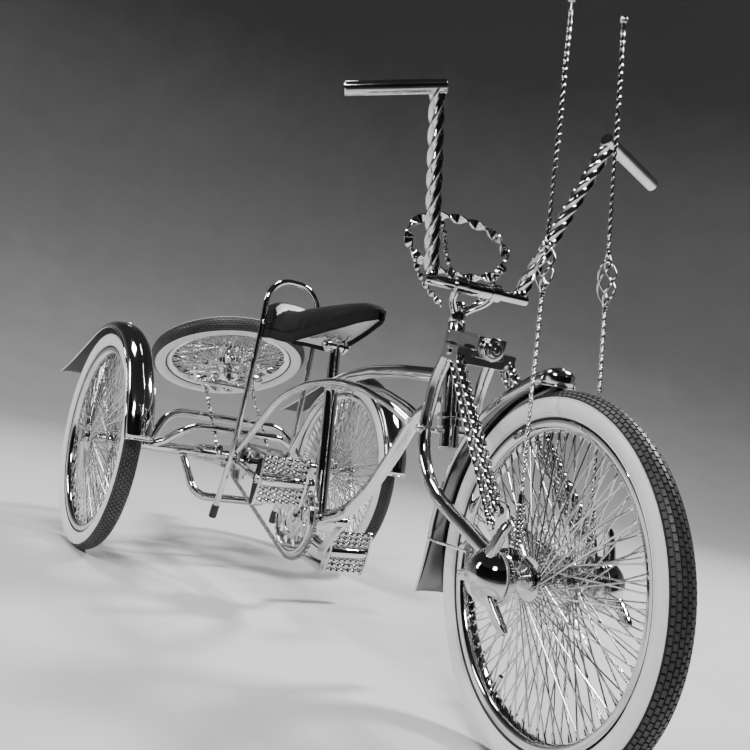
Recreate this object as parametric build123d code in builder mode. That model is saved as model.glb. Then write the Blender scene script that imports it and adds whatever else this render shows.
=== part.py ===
from build123d import *
from math import sin, cos, radians, atan2, degrees, hypot, pi, acos, sqrt
import os

os.makedirs("parts", exist_ok=True)

# ---- driving dimensions, mm; +X ahead, +Y to the left, +Z up, floor at z = 0 ----
X_MID = 534.362          # shift that puts the middle of the whole length at x = 0
WHEEL_R = 252.0        # 20 inch tyre, outside radius
TYRE_W = 44.0
RIM_IN, RIM_OUT, RIM_HALF = 196.0, 211.0, 14.0
SPARE_R = 200.0        # 16 inch tyre, outside radius
TRACK = 326.0          # middle of each rear tyre from the middle plane
STEER_X = 879.5        # steering axis at front axle height
AXLE_Z = 252.7
HEAD_TILT = 10.2       # steering axis leans back, degrees
FORK_REACH = 295.5     # front axle ahead of the steering axis
STEER_REST = -10.17    # the front stands turned to the right
BB = (476.0, 0.0, 191.0)
JACK = (172.0, 0.0, 258.0)
CRANK_LEN = 98.0
CRANK_ANGLE = 50.0
CHAIN_Y = 48.0
RING_R, JACK_R, AXLE_SPROCKET_R = 80.9, 44.5, 36.4
SHAFT_R = 8.0
RUN = 0.05             # radial running clearance
GRIP_LEN = 105.0       # length of 22.2 mm bar end that takes a grip

SH, CH = sin(radians(HEAD_TILT)), cos(radians(HEAD_TILT))


def axis_x(z):
    """x of the steering axis at height z"""
    return STEER_X - (z - AXLE_Z) * SH / CH


STEER_AXIS = Axis((STEER_X, 0, AXLE_Z), (-SH, 0, CH))
PIVOT_X = STEER_X + FORK_REACH


def at(d):
    """point on the steering axis, d above front axle height along the axis"""
    return (STEER_X - d * SH, 0, AXLE_Z + d * CH)


def save(part, name):
    """moves a finished piece to the shared frame and writes it"""
    part = part.moved(Location((-X_MID, 0, 0)))
    part.label = name
    export_step(part, "parts/" + name + ".step")


def steered(part):
    """turns a piece of the front end from straight ahead to its standing angle"""
    return part.rotate(STEER_AXIS, STEER_REST)


def spot(p, d):
    """plane at p whose normal runs along d"""
    return Plane(origin=p, z_dir=Vector(*d))


def toward(a, b):
    return (b[0] - a[0], b[1] - a[1], b[2] - a[2])


def length(a, b):
    return sqrt(sum((b[i] - a[i]) ** 2 for i in range(3)))


# ---- frame tubes ----
with BuildPart() as head_tube:
    with BuildSketch(spot(at(196), (-SH, 0, CH))):
        Circle(17.5)
    extrude(amount=92)
    for d, r, t in ((190, 22.0, 9.0), (285, 22.0, 9.0)):
        with BuildSketch(spot(at(d), (-SH, 0, CH))):
            Circle(r)
        extrude(amount=t)
    with BuildSketch(spot(at(180), (-SH, 0, CH))):
        Circle(12.7 + RUN)
    extrude(amount=130, mode=Mode.SUBTRACT)

# name, corner points, bend radius, tube radius, mirrored
TUBES = (
    ("top_tube", ((450, 0, 471), (500, 0, 489), (580, 0, 504), (680, 0, 511), (axis_x(511) - 15, 0, 511)), 350, 12.7, False),
    ("down_tube", ((axis_x(466) - 15, 0, 466), (756, 0, 440), (705, 0, 360), (650, 0, 288), (590, 0, 232), (496, 0, 195)), 130, 12.7, False),
    ("rear_tubes", ((186, 64, 282), (300, 47, 418), (400, 36, 460), (500, 30, 474), (600, 27, 469), (700, 22, 445), (750, 15, 424)), 220, 8.0, True),
    ("chainstays", ((460, 26, 196), (340, 38, 228), (258, 62, 246), (182, 64, 258)), 40, 8.0, True),
    ("sissy_bar", ((146, 78, 125), (178, 75, 262), (196, 70, 560), (184, 66, 690), (184, 0, 690)), 58, 7.0, True),
    ("rack_rear_hoop", ((-8, 205, 263), (-22, 190, 290), (-40, 166, 325), (-45, 130, 340), (-45, 0, 340)), 55, 9.5, True),
    ("rack_front_hoop", ((10, 209, 251), (20, 179, 270), (33, 148, 298), (37, 112, 316), (37, 0, 316)), 55, 9.5, True),
    ("lower_hoop", ((8, 122, 236), (64, 98, 154), (64, 0, 154)), 40, 10.0, True),
)

tubes = {}
for name, points, bend, radius, mirrored in TUBES:
    with BuildPart() as tube:
        if points[-1][1] == 0 and mirrored:
            # one bend runs across the middle plane
            points = points[:-1] + tuple((x, -y, z) for x, y, z in points[-2::-1])
            mirrored = False
        with BuildLine() as path:
            FilletPolyline(*points, radius=bend)
        with BuildSketch(spot(points[0], toward(points[0], points[1]))):
            Circle(radius)
        sweep(path=path.line)
        if mirrored:
            mirror(about=Plane.XZ)
        if name in ("top_tube", "down_tube"):
            # coped round the bore of the head tube
            with BuildSketch(spot(at(150), (-SH, 0, CH))):
                Circle(14.5)
            extrude(amount=200, mode=Mode.SUBTRACT)
        if name.startswith("rack"):
            # feet coped round the axle housing
            with BuildSketch(Plane(origin=(0, -300, 252), x_dir=(1, 0, 0), z_dir=(0, 1, 0))):
                Circle(12.5)
            extrude(amount=600, mode=Mode.SUBTRACT)
    tubes[name] = tube

with BuildPart() as seat_tube:
    top, low = (437.0, 0.0, 462.0), (484.7, 0.0, 205.0)
    with BuildSketch(spot(low, toward(low, top))):
        Circle(14.5)
    extrude(amount=length(low, top))
    with BuildSketch(Plane(origin=(BB[0], -34, BB[2]), x_dir=(1, 0, 0), z_dir=(0, 1, 0))):
        Circle(24)
    extrude(amount=68)
    with BuildSketch(Plane(origin=(BB[0], -40, BB[2]), x_dir=(1, 0, 0), z_dir=(0, 1, 0))):
        Circle(10 + RUN)
    extrude(amount=80, mode=Mode.SUBTRACT)
    with BuildSketch(spot(top, toward(top, low))):
        Circle(12.6)
    extrude(amount=90, mode=Mode.SUBTRACT)
    # pinch collar
    with BuildSketch(spot(top, toward(low, top))):
        Circle(18)
        Circle(12.6, mode=Mode.SUBTRACT)
    extrude(amount=14)

with BuildPart() as seat_post:
    top, low = (420.6, 0.0, 550.5), (452.0, 0.0, 381.2)
    with BuildSketch(spot(low, toward(low, top))):
        Circle(12.5)
    extrude(amount=length(low, top))
    # saddle clamp head
    with BuildSketch(Plane(origin=(422, -26, 548), x_dir=(1, 0, 0), z_dir=(0, 1, 0))):
        Circle(15)
    extrude(amount=52)
    with BuildSketch(Plane.XY.offset(552)):
        with Locations((422, 0)):
            Rectangle(26, 40)
    extrude(amount=24)

# ---- seat: long banana shape, kicked up at the rear ----
with BuildPart() as seat:
    with BuildSketch(Plane.XY.offset(500)):
        with BuildLine():
            Polyline((112, -36), (122, -46), (165, -53), (240, -55), (330, -60), (370, -59), (410, -54), (450, -47), (490, -38.5), (530, -29.5), (556, -23), (582, -12),
                     (582, 12), (556, 23), (530, 29.5), (490, 38.5), (450, 47), (410, 54), (370, 59), (330, 60), (240, 55), (165, 53), (122, 46), (112, 36), close=True)
        make_face()
        fillet(vertices()[:], 8)
    extrude(amount=220)
    with BuildSketch(Plane.XZ.offset(-100)):
        with BuildLine():
            Polyline((112, 587), (122, 568), (140, 560), (165, 556), (215, 554), (240, 551), (290, 546), (330, 548), (370, 556), (410, 566), (450, 577), (490, 587), (530, 600), (556, 607), (582, 614),
                     (582, 626), (556, 637), (530, 641), (490, 638), (450, 633), (410, 629), (370, 624), (330, 621), (290, 616), (240, 615), (217, 618), (198, 640), (165, 644), (140, 641), (122, 632), (112, 616), close=True)
        make_face()
        fillet(vertices()[:], 4)
    extrude(amount=200, mode=Mode.INTERSECT)

# ---- carrier plates, axle housing ----
with BuildPart() as axle_carrier:
    for y in (-66.5, 61.5):
        with BuildSketch(Plane(origin=(0, y, 0), x_dir=(1, 0, 0), z_dir=(0, 1, 0))):
            with BuildLine():
                Polyline((-22, -232), (22, -232), (150, -236), (196, -246), (196, -286), (150, -290), (22, -276), (-22, -274), close=True)
            make_face()
            fillet(vertices()[:], 8)
            with Locations((0, -252)):
                Circle(SHAFT_R + RUN, mode=Mode.SUBTRACT)
            with Locations((JACK[0], -JACK[2])):
                Circle(5.0, mode=Mode.SUBTRACT)
        extrude(amount=5)

with BuildPart() as axle_housing:
    # y start, length, radius
    for y, l, r in ((66.8, 208.0, 13.0), (66.8, 22.0, 20.0), (256.0, 18.8, 18.0)):
        for s in (1, -1):
            with BuildSketch(Plane(origin=(0, s * y, 252), x_dir=(1, 0, 0), z_dir=(0, s, 0))):
                Circle(r)
            extrude(amount=l)
    with BuildSketch(Plane(origin=(0, -300, 252), x_dir=(1, 0, 0), z_dir=(0, 1, 0))):
        Circle(SHAFT_R + RUN)
    extrude(amount=600, mode=Mode.SUBTRACT)

# ---- rear fenders: rolled channel with a flared tail, one over each rear wheel ----
with BuildPart() as rear_fenders:
    for s in (1, -1):
        mid = (4, s * TRACK, 246)
        with BuildSketch(Plane(origin=mid, x_dir=(cos(radians(8)), 0, sin(radians(8))), z_dir=(sin(radians(8)), 0, -cos(radians(8))))) as arc:
            with BuildLine():
                Polyline((265, -31), (272, -26), (278, -13), (280, 0), (278, 13), (272, 26), (265, 31), (263.2, 30.2), (270.4, 24.8), (276.1, 12.4), (278, 0), (276.1, -12.4), (270.4, -24.8), (263.2, -30.2), close=True)
            make_face()
        revolve(axis=Axis(mid, (0, -1, 0)), revolution_arc=106)
        # tail
        a = radians(114)
        p0 = (4 + 278 * cos(a), s * TRACK, 246 + 278 * sin(a))
        p1 = (-240, s * TRACK, 441)
        p2 = (-349.8, s * TRACK, 386)
        with BuildSketch(Plane(origin=p0, x_dir=(0, 1, 0), z_dir=toward(p0, p1))):
            Rectangle(58, 2)
        with BuildSketch(Plane(origin=p1, x_dir=(0, 1, 0), z_dir=toward(p0, p2))):
            Rectangle(66, 2)
        with BuildSketch(Plane(origin=p2, x_dir=(0, 1, 0), z_dir=toward(p1, p2))):
            Rectangle(78, 2)
        loft(ruled=True)

with BuildPart() as fender_braces:
    for s in (1, -1):
        for a, b in (((14, s * 262, 266), (60, s * 297, 508)), ((-14, s * 262, 266), (-60, s * 297, 506))):
            with BuildSketch(spot(a, toward(a, b))):
                Circle(4)
            extrude(amount=length(a, b))

# ---- wheels ----
# name, middle, radial direction, side direction, tyre radius, hub bore, hub half width, flange radius
UP_SPARE = (0.8924, 0, 0.4512)
WHEELS = (
    ("front", (PIVOT_X, 0, AXLE_Z), (1, 0, 0), (0, 0, 1), WHEEL_R, 5.0 + RUN, 33.0, 34.0),
    ("rear_right", (0, -TRACK, 252), (1, 0, 0), (0, 0, 1), WHEEL_R, SHAFT_R + 0.02, 34.0, 32.0),
    ("rear_left", (0, TRACK, 252), (1, 0, 0), (0, 0, 1), WHEEL_R, SHAFT_R + RUN, 34.0, 32.0),
    ("spare", (-120, 0, 498), UP_SPARE, (0, 1, 0), SPARE_R, 5.02, 30.0, 32.0),
)
SPOKES = 20
tyres, wheels = {}, {}
for name, mid, radial, side, outer, bore, half, flange in WHEELS:
    base = Plane(origin=mid, x_dir=radial, z_dir=side)
    step = outer - WHEEL_R
    axle = Axis(mid, tuple(base.y_dir))
    with BuildPart() as tyre:
        with BuildSketch(base):
            with Locations((230 + step, 0)):
                Circle(TYRE_W / 2)
            with Locations((RIM_IN + step, 0)):
                Rectangle(2 * (RIM_OUT - RIM_IN + 0.4), 2 * RIM_HALF + 0.8, mode=Mode.SUBTRACT)
        revolve(axis=axle)
    tyres[name] = tyre
    with BuildPart() as wheel:
        with BuildSketch(base):
            with BuildLine():
                Polyline((RIM_IN + step, -5), (RIM_IN + 4 + step, -RIM_HALF), (RIM_OUT + step, -RIM_HALF), (RIM_OUT + step, -RIM_HALF + 3), (RIM_IN + 8 + step, -4),
                         (RIM_IN + 8 + step, 4), (RIM_OUT + step, RIM_HALF - 3), (RIM_OUT + step, RIM_HALF), (RIM_IN + 4 + step, RIM_HALF), (RIM_IN + step, 5), close=True)
            make_face()
        revolve(axis=axle)
        with BuildSketch(base):
            with BuildLine():
                Polyline((bore, -half), (12, -half), (14, -29), (flange, -28.5), (flange, -25.5), (16, -24), (14, 0), (16, 24), (flange, 25.5), (flange, 28.5), (14, 29), (12, half), (bore, half), close=True)
            make_face()
        revolve(axis=axle)
        for i in range(SPOKES):
            t = 2 * pi * (i + 0.5) / SPOKES
            w = 1 if i % 2 else -1
            a = base.from_local_coords((cos(t) * (flange - 4), w * 27.0, sin(t) * (flange - 4)))
            b = base.from_local_coords((cos(t) * (RIM_IN + 3 + step), w * 2.0, sin(t) * (RIM_IN + 3 + step)))
            with BuildSketch(Plane(origin=a, z_dir=b - a)):
                Circle(1.3)
            extrude(amount=(b - a).length)
    wheels[name] = wheel

# ---- rear axle shaft with its sprocket ----
with BuildPart() as axle_shaft:
    with BuildSketch(Plane(origin=(0, -366, 252), x_dir=(1, 0, 0), z_dir=(0, 1, 0))):
        Circle(SHAFT_R)
    extrude(amount=732)
    for y, l, r in ((44, 8, 20), (46, 4, AXLE_SPROCKET_R - 5), (360.6, 10, 13), (-370.6, 10, 13)):
        with BuildSketch(Plane(origin=(0, y, 252), x_dir=(1, 0, 0), z_dir=(0, 1, 0))):
            Circle(r)
        extrude(amount=l)

# ---- jackshaft hub between the dropouts, a sprocket at each end ----
with BuildPart() as jackshaft:
    # y start, length, radius
    for y, l, r in ((-54, 108, 14), (-50, 4, JACK_R - 5), (46, 4, AXLE_SPROCKET_R - 5), (-36, 4, 26), (32, 4, 26)):
        with BuildSketch(Plane(origin=(JACK[0], y, JACK[2]), x_dir=(1, 0, 0), z_dir=(0, 1, 0))):
            Circle(r)
        extrude(amount=l)
    with BuildSketch(Plane(origin=(JACK[0], -60, JACK[2]), x_dir=(1, 0, 0), z_dir=(0, 1, 0))):
        Circle(5 + RUN)
    extrude(amount=120, mode=Mode.SUBTRACT)

with BuildPart() as jack_axle:
    for y, l, r in ((-76, 152, 4.98), (-75, 8, 10), (67, 8, 10)):
        with BuildSketch(Plane(origin=(JACK[0], y, JACK[2]), x_dir=(1, 0, 0), z_dir=(0, 1, 0))):
            Circle(r)
        extrude(amount=l)


def tangents(c0, r0, c1, r1):
    """straight runs of a loop over two circles: upper and lower pairs of points (x, z)"""
    dx, dz = c1[0] - c0[0], c1[1] - c0[1]
    d = hypot(dx, dz)
    base, open_angle = atan2(dz, dx), acos((r0 - r1) / d)
    pts = []
    for s in (1, -1):
        t = base + s * open_angle
        pts.append(((c0[0] + r0 * cos(t), c0[1] + r0 * sin(t)), (c1[0] + r1 * cos(t), c1[1] + r1 * sin(t))))
    return pts


def loop(c0, r0, c1, r1):
    """closed outline over two circles, in the x, z plane"""
    (a0, a1), (b0, b1) = tangents(c0, r0, c1, r1)
    d = hypot(c1[0] - c0[0], c1[1] - c0[1])
    ux, uz = (c1[0] - c0[0]) / d, (c1[1] - c0[1]) / d
    Line(a0, a1)
    ThreePointArc(a1, (c1[0] + ux * r1, c1[1] + uz * r1), b1)
    Line(b1, b0)
    ThreePointArc(b0, (c0[0] - ux * r0, c0[1] - uz * r0), a0)


# name, y middle, first circle, radius, second circle, radius
CHAINS = (
    ("drive_chain", -CHAIN_Y, (JACK[0], JACK[2]), JACK_R, (BB[0], BB[2]), RING_R),
    ("axle_chain", CHAIN_Y, (0, 252), AXLE_SPROCKET_R, (JACK[0], JACK[2]), AXLE_SPROCKET_R + 0.001),
)
chains = {}
for name, y, c0, r0, c1, r1 in CHAINS:
    with BuildPart() as chain:
        with BuildSketch(Plane(origin=(0, y + 3.5, 0), x_dir=(1, 0, 0), z_dir=(0, -1, 0))):
            with BuildLine():
                loop(c0, r0 + 4, c1, r1 + 4)
            make_face()
            with BuildLine():
                loop(c0, r0 - 4, c1, r1 - 4)
            make_face(mode=Mode.SUBTRACT)
        extrude(amount=7)
    chains[name] = chain

# ---- crank, chainring, pedals ----
ca, sa = cos(radians(CRANK_ANGLE)), sin(radians(CRANK_ANGLE))
ends = {"right": (BB[0] + CRANK_LEN * ca, -1, BB[2] + CRANK_LEN * sa), "left": (BB[0] - CRANK_LEN * ca, 1, BB[2] - CRANK_LEN * sa)}
with BuildPart() as crank:
    with BuildSketch(Plane(origin=(BB[0], -71, BB[2]), x_dir=(1, 0, 0), z_dir=(0, 1, 0))):
        Circle(10)
    extrude(amount=142)
    for s in (1, -1):
        with BuildSketch(Plane(origin=(BB[0], s * 35, BB[2]), x_dir=(1, 0, 0), z_dir=(0, s, 0))):
            Circle(16)
        extrude(amount=4)
    for name in ("right", "left"):
        x, s, z = ends[name]
        with BuildSketch(Plane(origin=(BB[0], s * 61, BB[2]), x_dir=(x - BB[0], 0, z - BB[2]), z_dir=(0, s, 0))):
            with Locations((CRANK_LEN / 2, 0)):
                SlotCenterToCenter(CRANK_LEN, 22)
        extrude(amount=10)
        # pedal spindle
        with BuildSketch(Plane(origin=(x, s * 71, z), x_dir=(1, 0, 0), z_dir=(0, s, 0))):
            Circle(5)
        extrude(amount=117)

with BuildPart() as chainring:
    with BuildSketch(Plane(origin=(BB[0], -50, BB[2]), x_dir=(1, 0, 0), z_dir=(0, 1, 0))):
        Circle(RING_R - 5)
        Circle(10.02, mode=Mode.SUBTRACT)
        with PolarLocations(43, 5):
            Circle(17, mode=Mode.SUBTRACT)
    extrude(amount=4)

pedals = {}
for name in ("right", "left"):
    x, s, z = ends[name]
    with BuildPart() as pedal:
        base = Plane(origin=(x, s * 76, z), x_dir=(1, 0, 0), z_dir=(0, s, 0))
        # middle sleeve
        with BuildSketch(base):
            Circle(9)
        extrude(amount=108)
        # end plates, upright as parked
        for y in (2, 100):
            with BuildSketch(base.offset(y)):
                SlotCenterToCenter(84, 18, rotation=82 * -s)
            extrude(amount=5)
        # cage rods: place along the plate
        for k in (-40, -30, -20, 20, 30, 40):
            with BuildSketch(base.offset(2)):
                with Locations((k * cos(radians(82)), -s * k * sin(radians(82)))):
                    Circle(4)
            extrude(amount=103)
        with BuildSketch(base.offset(-1)):
            Circle(5 + RUN)
        extrude(amount=120, mode=Mode.SUBTRACT)
    pedals[name] = pedal

# ---- carrier of the spare wheel ----
n = (0.4512, 0, -0.8924)
hub_mid = (-120, 0, 498)


def along(d):
    return (hub_mid[0] + n[0] * d, 0, hub_mid[2] + n[2] * d)


with BuildPart() as spare_carrier:
    for s in (1, -1):
        a, b = (96, s * 71.5, 262), (-86, s * 66, 424)
        with BuildSketch(spot(a, toward(a, b))):
            Rectangle(10, 10)
        extrude(amount=length(a, b))
        with BuildSketch(Plane(origin=(96, s * 66.8, 262), x_dir=(1, 0, 0), z_dir=(0, s, 0))):
            Circle(12)
        extrude(amount=9)
    # cross plate under the hub
    with BuildSketch(Plane(origin=along(52), x_dir=(0, 1, 0), z_dir=n)):
        Rectangle(150, 40)
        Circle(5.0, mode=Mode.SUBTRACT)
    extrude(amount=6)
    with BuildSketch(Plane(origin=(-86, -75, 424), x_dir=(1, 0, 0), z_dir=(0, 1, 0))):
        Circle(9)
    extrude(amount=150)
    with BuildSketch(Plane(origin=(-86, 0, 424), x_dir=(0, 1, 0), z_dir=toward((-86, 0, 424), along(55)))):
        Rectangle(150, 6)
    extrude(amount=length((-86, 0, 424), along(55)))

with BuildPart() as spare_axle:
    with BuildSketch(Plane(origin=along(-46), x_dir=(0, 1, 0), z_dir=n)):
        Circle(4.98)
    extrude(amount=116)
    with BuildSketch(Plane(origin=along(30.4), x_dir=(0, 1, 0), z_dir=n)):
        Circle(9)
    extrude(amount=21.4)
    with BuildSketch(Plane(origin=along(58.2), x_dir=(0, 1, 0), z_dir=n)):
        RegularPolygon(10, 6)
    extrude(amount=8)
    with BuildSketch(Plane(origin=along(-30.4), x_dir=(0, 1, 0), z_dir=(-n[0], 0, -n[2]))):
        RegularPolygon(10, 6)
    extrude(amount=8)

# ---- front end, drawn straight ahead ----
with BuildPart() as steerer:
    with BuildSketch(spot(at(141), (-SH, 0, CH))):
        Circle(12.7)
    extrude(amount=245)
    for d, r, t in ((176, 20.0, 12.0), (296, 21.0, 6.0)):
        with BuildSketch(spot(at(d), (-SH, 0, CH))):
            Circle(r)
        extrude(amount=t)

FRONT_TUBES = (
    ("fork_legs", ((888, 40, 562), (857, 43, 500), (846, 45, 430), (856, 45, 378), (891, 45, 338), (940, 46, 313), (1150, 52, 258)), 95, 11.0, True),
    ("crossbar", ((868, -98, 659), (868, 98, 659)), 0, 9.0, False),
)
for name, points, bend, radius, mirrored in FRONT_TUBES:
    with BuildPart() as tube:
        with BuildLine() as path:
            if bend:
                FilletPolyline(*points, radius=bend)
            else:
                Line(*points)
        with BuildSketch(spot(points[0], toward(points[0], points[1]))):
            Circle(radius)
        sweep(path=path.line)
        if name == "crossbar":
            # middle sleeve
            with BuildSketch(Plane(origin=(868, -44, 659), x_dir=(1, 0, 0), z_dir=(0, 1, 0))):
                Circle(12)
            extrude(amount=88)
        if name == "fork_legs":
            # flattened ends with the axle holes
            with BuildSketch(Plane(origin=(PIVOT_X, 49.5, AXLE_Z), x_dir=(1, 0, 0), z_dir=(0, 1, 0))):
                with Locations((-14, 0)):
                    SlotCenterToCenter(28, 24)
                Circle(5.02, mode=Mode.SUBTRACT)
            extrude(amount=5)
        if mirrored:
            mirror(about=Plane.XZ)
    tubes[name] = tube

with BuildPart() as fork_crown:
    c = at(150)
    with BuildSketch(spot(c, (-SH, 0, CH))):
        with Locations((0, 0)):
            Rectangle(26, 74)
        Circle(12.72, mode=Mode.SUBTRACT)
    extrude(amount=8)

with BuildPart() as springer_yoke:
    # housing on the steerer
    with BuildSketch(spot(at(303), (-SH, 0, CH))):
        Circle(20)
        Circle(12.72, mode=Mode.SUBTRACT)
    extrude(amount=36)
    # arm ahead
    with BuildSketch(Plane(origin=(830, 0, 577), x_dir=(0, 1, 0), z_dir=(1, 0, -0.16))):
        Rectangle(46, 32)
    extrude(amount=110)
    with BuildSketch(spot(at(290), (-SH, 0, CH))):
        Circle(12.72)
    extrude(amount=70, mode=Mode.SUBTRACT)
    with BuildSketch(spot(at(339.5), (-SH, 0, CH))):
        Circle(15.5)
    extrude(amount=30, mode=Mode.SUBTRACT)
    # square plate and round boss facing ahead, nut on the boss
    with BuildSketch(Plane(origin=(936, 0, 560), x_dir=(0, 1, 0), z_dir=(1, 0, -0.16))):
        Rectangle(50, 34)
    extrude(amount=8)
    with BuildSketch(Plane(origin=(943, 0, 559), x_dir=(0, 1, 0), z_dir=(1, 0, -0.16))):
        Circle(19)
    extrude(amount=12)
    with BuildSketch(Plane(origin=(954, 0, 557), x_dir=(0, 1, 0), z_dir=(1, 0, -0.16))):
        RegularPolygon(12, 6)
    extrude(amount=8)
    # cross plate that carries the bars
    with BuildSketch(Plane(origin=(908, -54, 546), x_dir=(1, 0, -0.16), z_dir=(0, 1, 0))):
        Rectangle(52, 26)
    extrude(amount=108)

with BuildPart() as springer_bars:
    for s in (1, -1):
        for x, z, x1, z1 in ((927, 543, 1147, 330), (914, 531, 1135, 313)):
            a, b = (x, s * 46, z), (x1, s * 70, z1)
            with BuildSketch(Plane(origin=a, x_dir=(0, 1, 0), z_dir=toward(a, b))):
                Rectangle(9, 9)
            extrude(amount=length(a, b))

with BuildPart() as rockers:
    for s in (1, -1):
        with BuildSketch(Plane(origin=(PIVOT_X, s * 66, AXLE_Z), x_dir=(1, 0, 0), z_dir=(0, s, 0))):
            with BuildLine():
                Polyline((-13, -14 * s), (13, -14 * s), (12, 30 * s), (-8, 94 * s), (-34, 94 * s), (-54, 58 * s), (-22, 30 * s), close=True)
            make_face()
            fillet(vertices()[:], 5)
            Circle(5.02, mode=Mode.SUBTRACT)
        extrude(amount=5)

with BuildPart() as front_axle:
    with BuildSketch(Plane(origin=(PIVOT_X, -84, AXLE_Z), x_dir=(1, 0, 0), z_dir=(0, 1, 0))):
        Circle(5)
    extrude(amount=168)
    # distance: spacers and nuts outside the hub
    for y, l, r in ((35, 14.2, 9), (54.8, 10.9, 9)):
        for s in (1, -1):
            with BuildSketch(Plane(origin=(PIVOT_X, s * y, AXLE_Z), x_dir=(1, 0, 0), z_dir=(0, s, 0))):
                Circle(r)
            extrude(amount=l)

with BuildPart() as spinner_caps:
    for s in (1, -1):
        # domed body, revolved about the axle line
        with BuildSketch(Plane(origin=(PIVOT_X, 0, AXLE_Z), x_dir=(1, 0, 0), z_dir=(0, 0, 1))):
            with BuildLine():
                Polyline((0, s * 84.2), (5.02, s * 84.2), (5.02, s * 71.4), (36.5, s * 71.4), (38, s * 81), (36.6, s * 91), (33, s * 100), (27, s * 108), (19, s * 114), (10, s * 118), (0, s * 119), close=True)
            make_face()
        revolve(axis=Axis((PIVOT_X, 0, AXLE_Z), (0, 1, 0)))
        # three blades
        for k in range(3):
            t = radians((90 if s > 0 else 72) + 120 * k)
            p = (PIVOT_X + 24 * cos(t), s * 92, AXLE_Z + 24 * sin(t))
            q = (PIVOT_X + 78 * cos(t), s * 88, AXLE_Z + 78 * sin(t))
            with BuildSketch(Plane(origin=p, x_dir=(0, 1, 0), z_dir=toward(p, q))):
                Rectangle(9, 17)
            with BuildSketch(Plane(origin=q, x_dir=(0, 1, 0), z_dir=toward(p, q))):
                Rectangle(6, 11)
            loft()

with BuildPart() as front_fender:
    mid = (1155, 0, 240)
    u = (cos(radians(93)), 0, sin(radians(93)))
    with BuildSketch(Plane(origin=mid, x_dir=u, z_dir=(sin(radians(93)), 0, -cos(radians(93))))):
        with BuildLine():
            Polyline((270, -30), (279, -26), (286, -14), (288, 0), (286, 14), (279, 26), (270, 30), (268.4, 29), (277.6, 24.8), (284.2, 13.4), (286, 0), (284.2, -13.4), (277.6, -24.8), (268.4, -29), close=True)
        make_face()
    revolve(axis=Axis(mid, (0, -1, 0)), revolution_arc=97)
    a = radians(190)
    p0 = (mid[0] + 286 * cos(a), 0, mid[2] + 286 * sin(a))
    p1 = (858, 0, 160)
    p2 = (832, 0, 132)
    with BuildSketch(Plane(origin=p0, x_dir=(0, 1, 0), z_dir=toward(p0, p1))):
        Rectangle(58, 2)
    with BuildSketch(Plane(origin=p1, x_dir=(0, 1, 0), z_dir=toward(p0, p2))):
        Rectangle(66, 2)
    with BuildSketch(Plane(origin=p2, x_dir=(0, 1, 0), z_dir=toward(p1, p2))):
        Rectangle(78, 2)
    loft(ruled=True)

with BuildPart() as fender_stay:
    for s in (1, -1):
        a, b = (872, s * 30.2, 214), (1046, s * 47.5, 258)
        with BuildSketch(spot(a, toward(a, b))):
            Circle(2.5)
        extrude(amount=length(a, b))

with BuildPart() as stem:
    with BuildSketch(spot(at(340), (-SH, 0, CH))):
        Circle(15)
        Circle(12.72, mode=Mode.SUBTRACT)
    extrude(amount=48)
    with BuildSketch(spot(at(386.5), (-SH, 0, CH))):
        Circle(15)
    extrude(amount=6)
    for s in (1, -1):
        a, b = (at(380)[0] + 6, s * 9, at(380)[2]), (862, s * 34, 656)
        with BuildSketch(spot(a, toward(a, b))):
            Circle(6.5)
        extrude(amount=length(a, b))

with BuildPart() as bar_uprights:
    for s in (1, -1):
        a, b = (862, s * 84, 662), (944, s * 163, 934)
        with BuildSketch(Plane(origin=a, x_dir=(1, 0, 0), z_dir=toward(a, b))):
            Rectangle(19, 19)
        extrude(amount=length(a, b))

with BuildPart() as grips:
    for s in (1, -1):
        a, b = (950, s * 150, 937), (905, s * 296, 903)
        with BuildSketch(spot(a, toward(a, b))):
            Circle(10.9)
        extrude(amount=length(a, b))
        # plain end that takes a grip
        d = toward(a, b)
        f = 1 - GRIP_LEN / length(a, b)
        with BuildSketch(spot((a[0] + d[0] * f, a[1] + d[1] * f, a[2] + d[2] * f), d)):
            Circle(11.1)
        extrude(amount=GRIP_LEN)

with BuildPart() as ring_ornament:
    # stands in the cross plane through the steering axis, a little behind it
    c = at(498)
    face = Plane(origin=(c[0] - 14, 0, c[2] - 2.5), x_dir=(0, 1, 0), z_dir=(CH, 0, SH))
    with BuildLine(face) as path:
        FilletPolyline((10, -53), (98, -53), (98, 53), (-98, 53), (-98, -53), (-5, -53), radius=50)
    with BuildSketch(spot(path.line @ 0, tuple(path.line % 0))):
        Circle(6)
    sweep(path=path.line)
    # tails down to the stem
    for s in (1, -1):
        a, b = face.from_local_coords((s * 82, -38)), face.from_local_coords((s * 22, -112))
        with BuildSketch(Plane(origin=a, z_dir=b - a)):
            Circle(4)
        extrude(amount=(b - a).length)

with BuildPart() as antennas:
    for s in (1, -1):
        a, b = (1182, s * 58, 268), (1093, s * 46, 1052)
        d = toward(a, b)
        with BuildSketch(spot(a, d)):
            Circle(3)
        extrude(amount=length(a, b))
        # spring base, cage, tip
        for f0, f1, r in ((0.02, 0.11, 8.0), (0.466, 0.546, 13.0)):
            p = tuple(a[i] + d[i] * f0 for i in range(3))
            q = tuple(a[i] + d[i] * f1 for i in range(3))
            with BuildSketch(spot(p, d)):
                Circle(r)
            extrude(amount=length(p, q))
        with Locations(b):
            Sphere(6)

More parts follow.
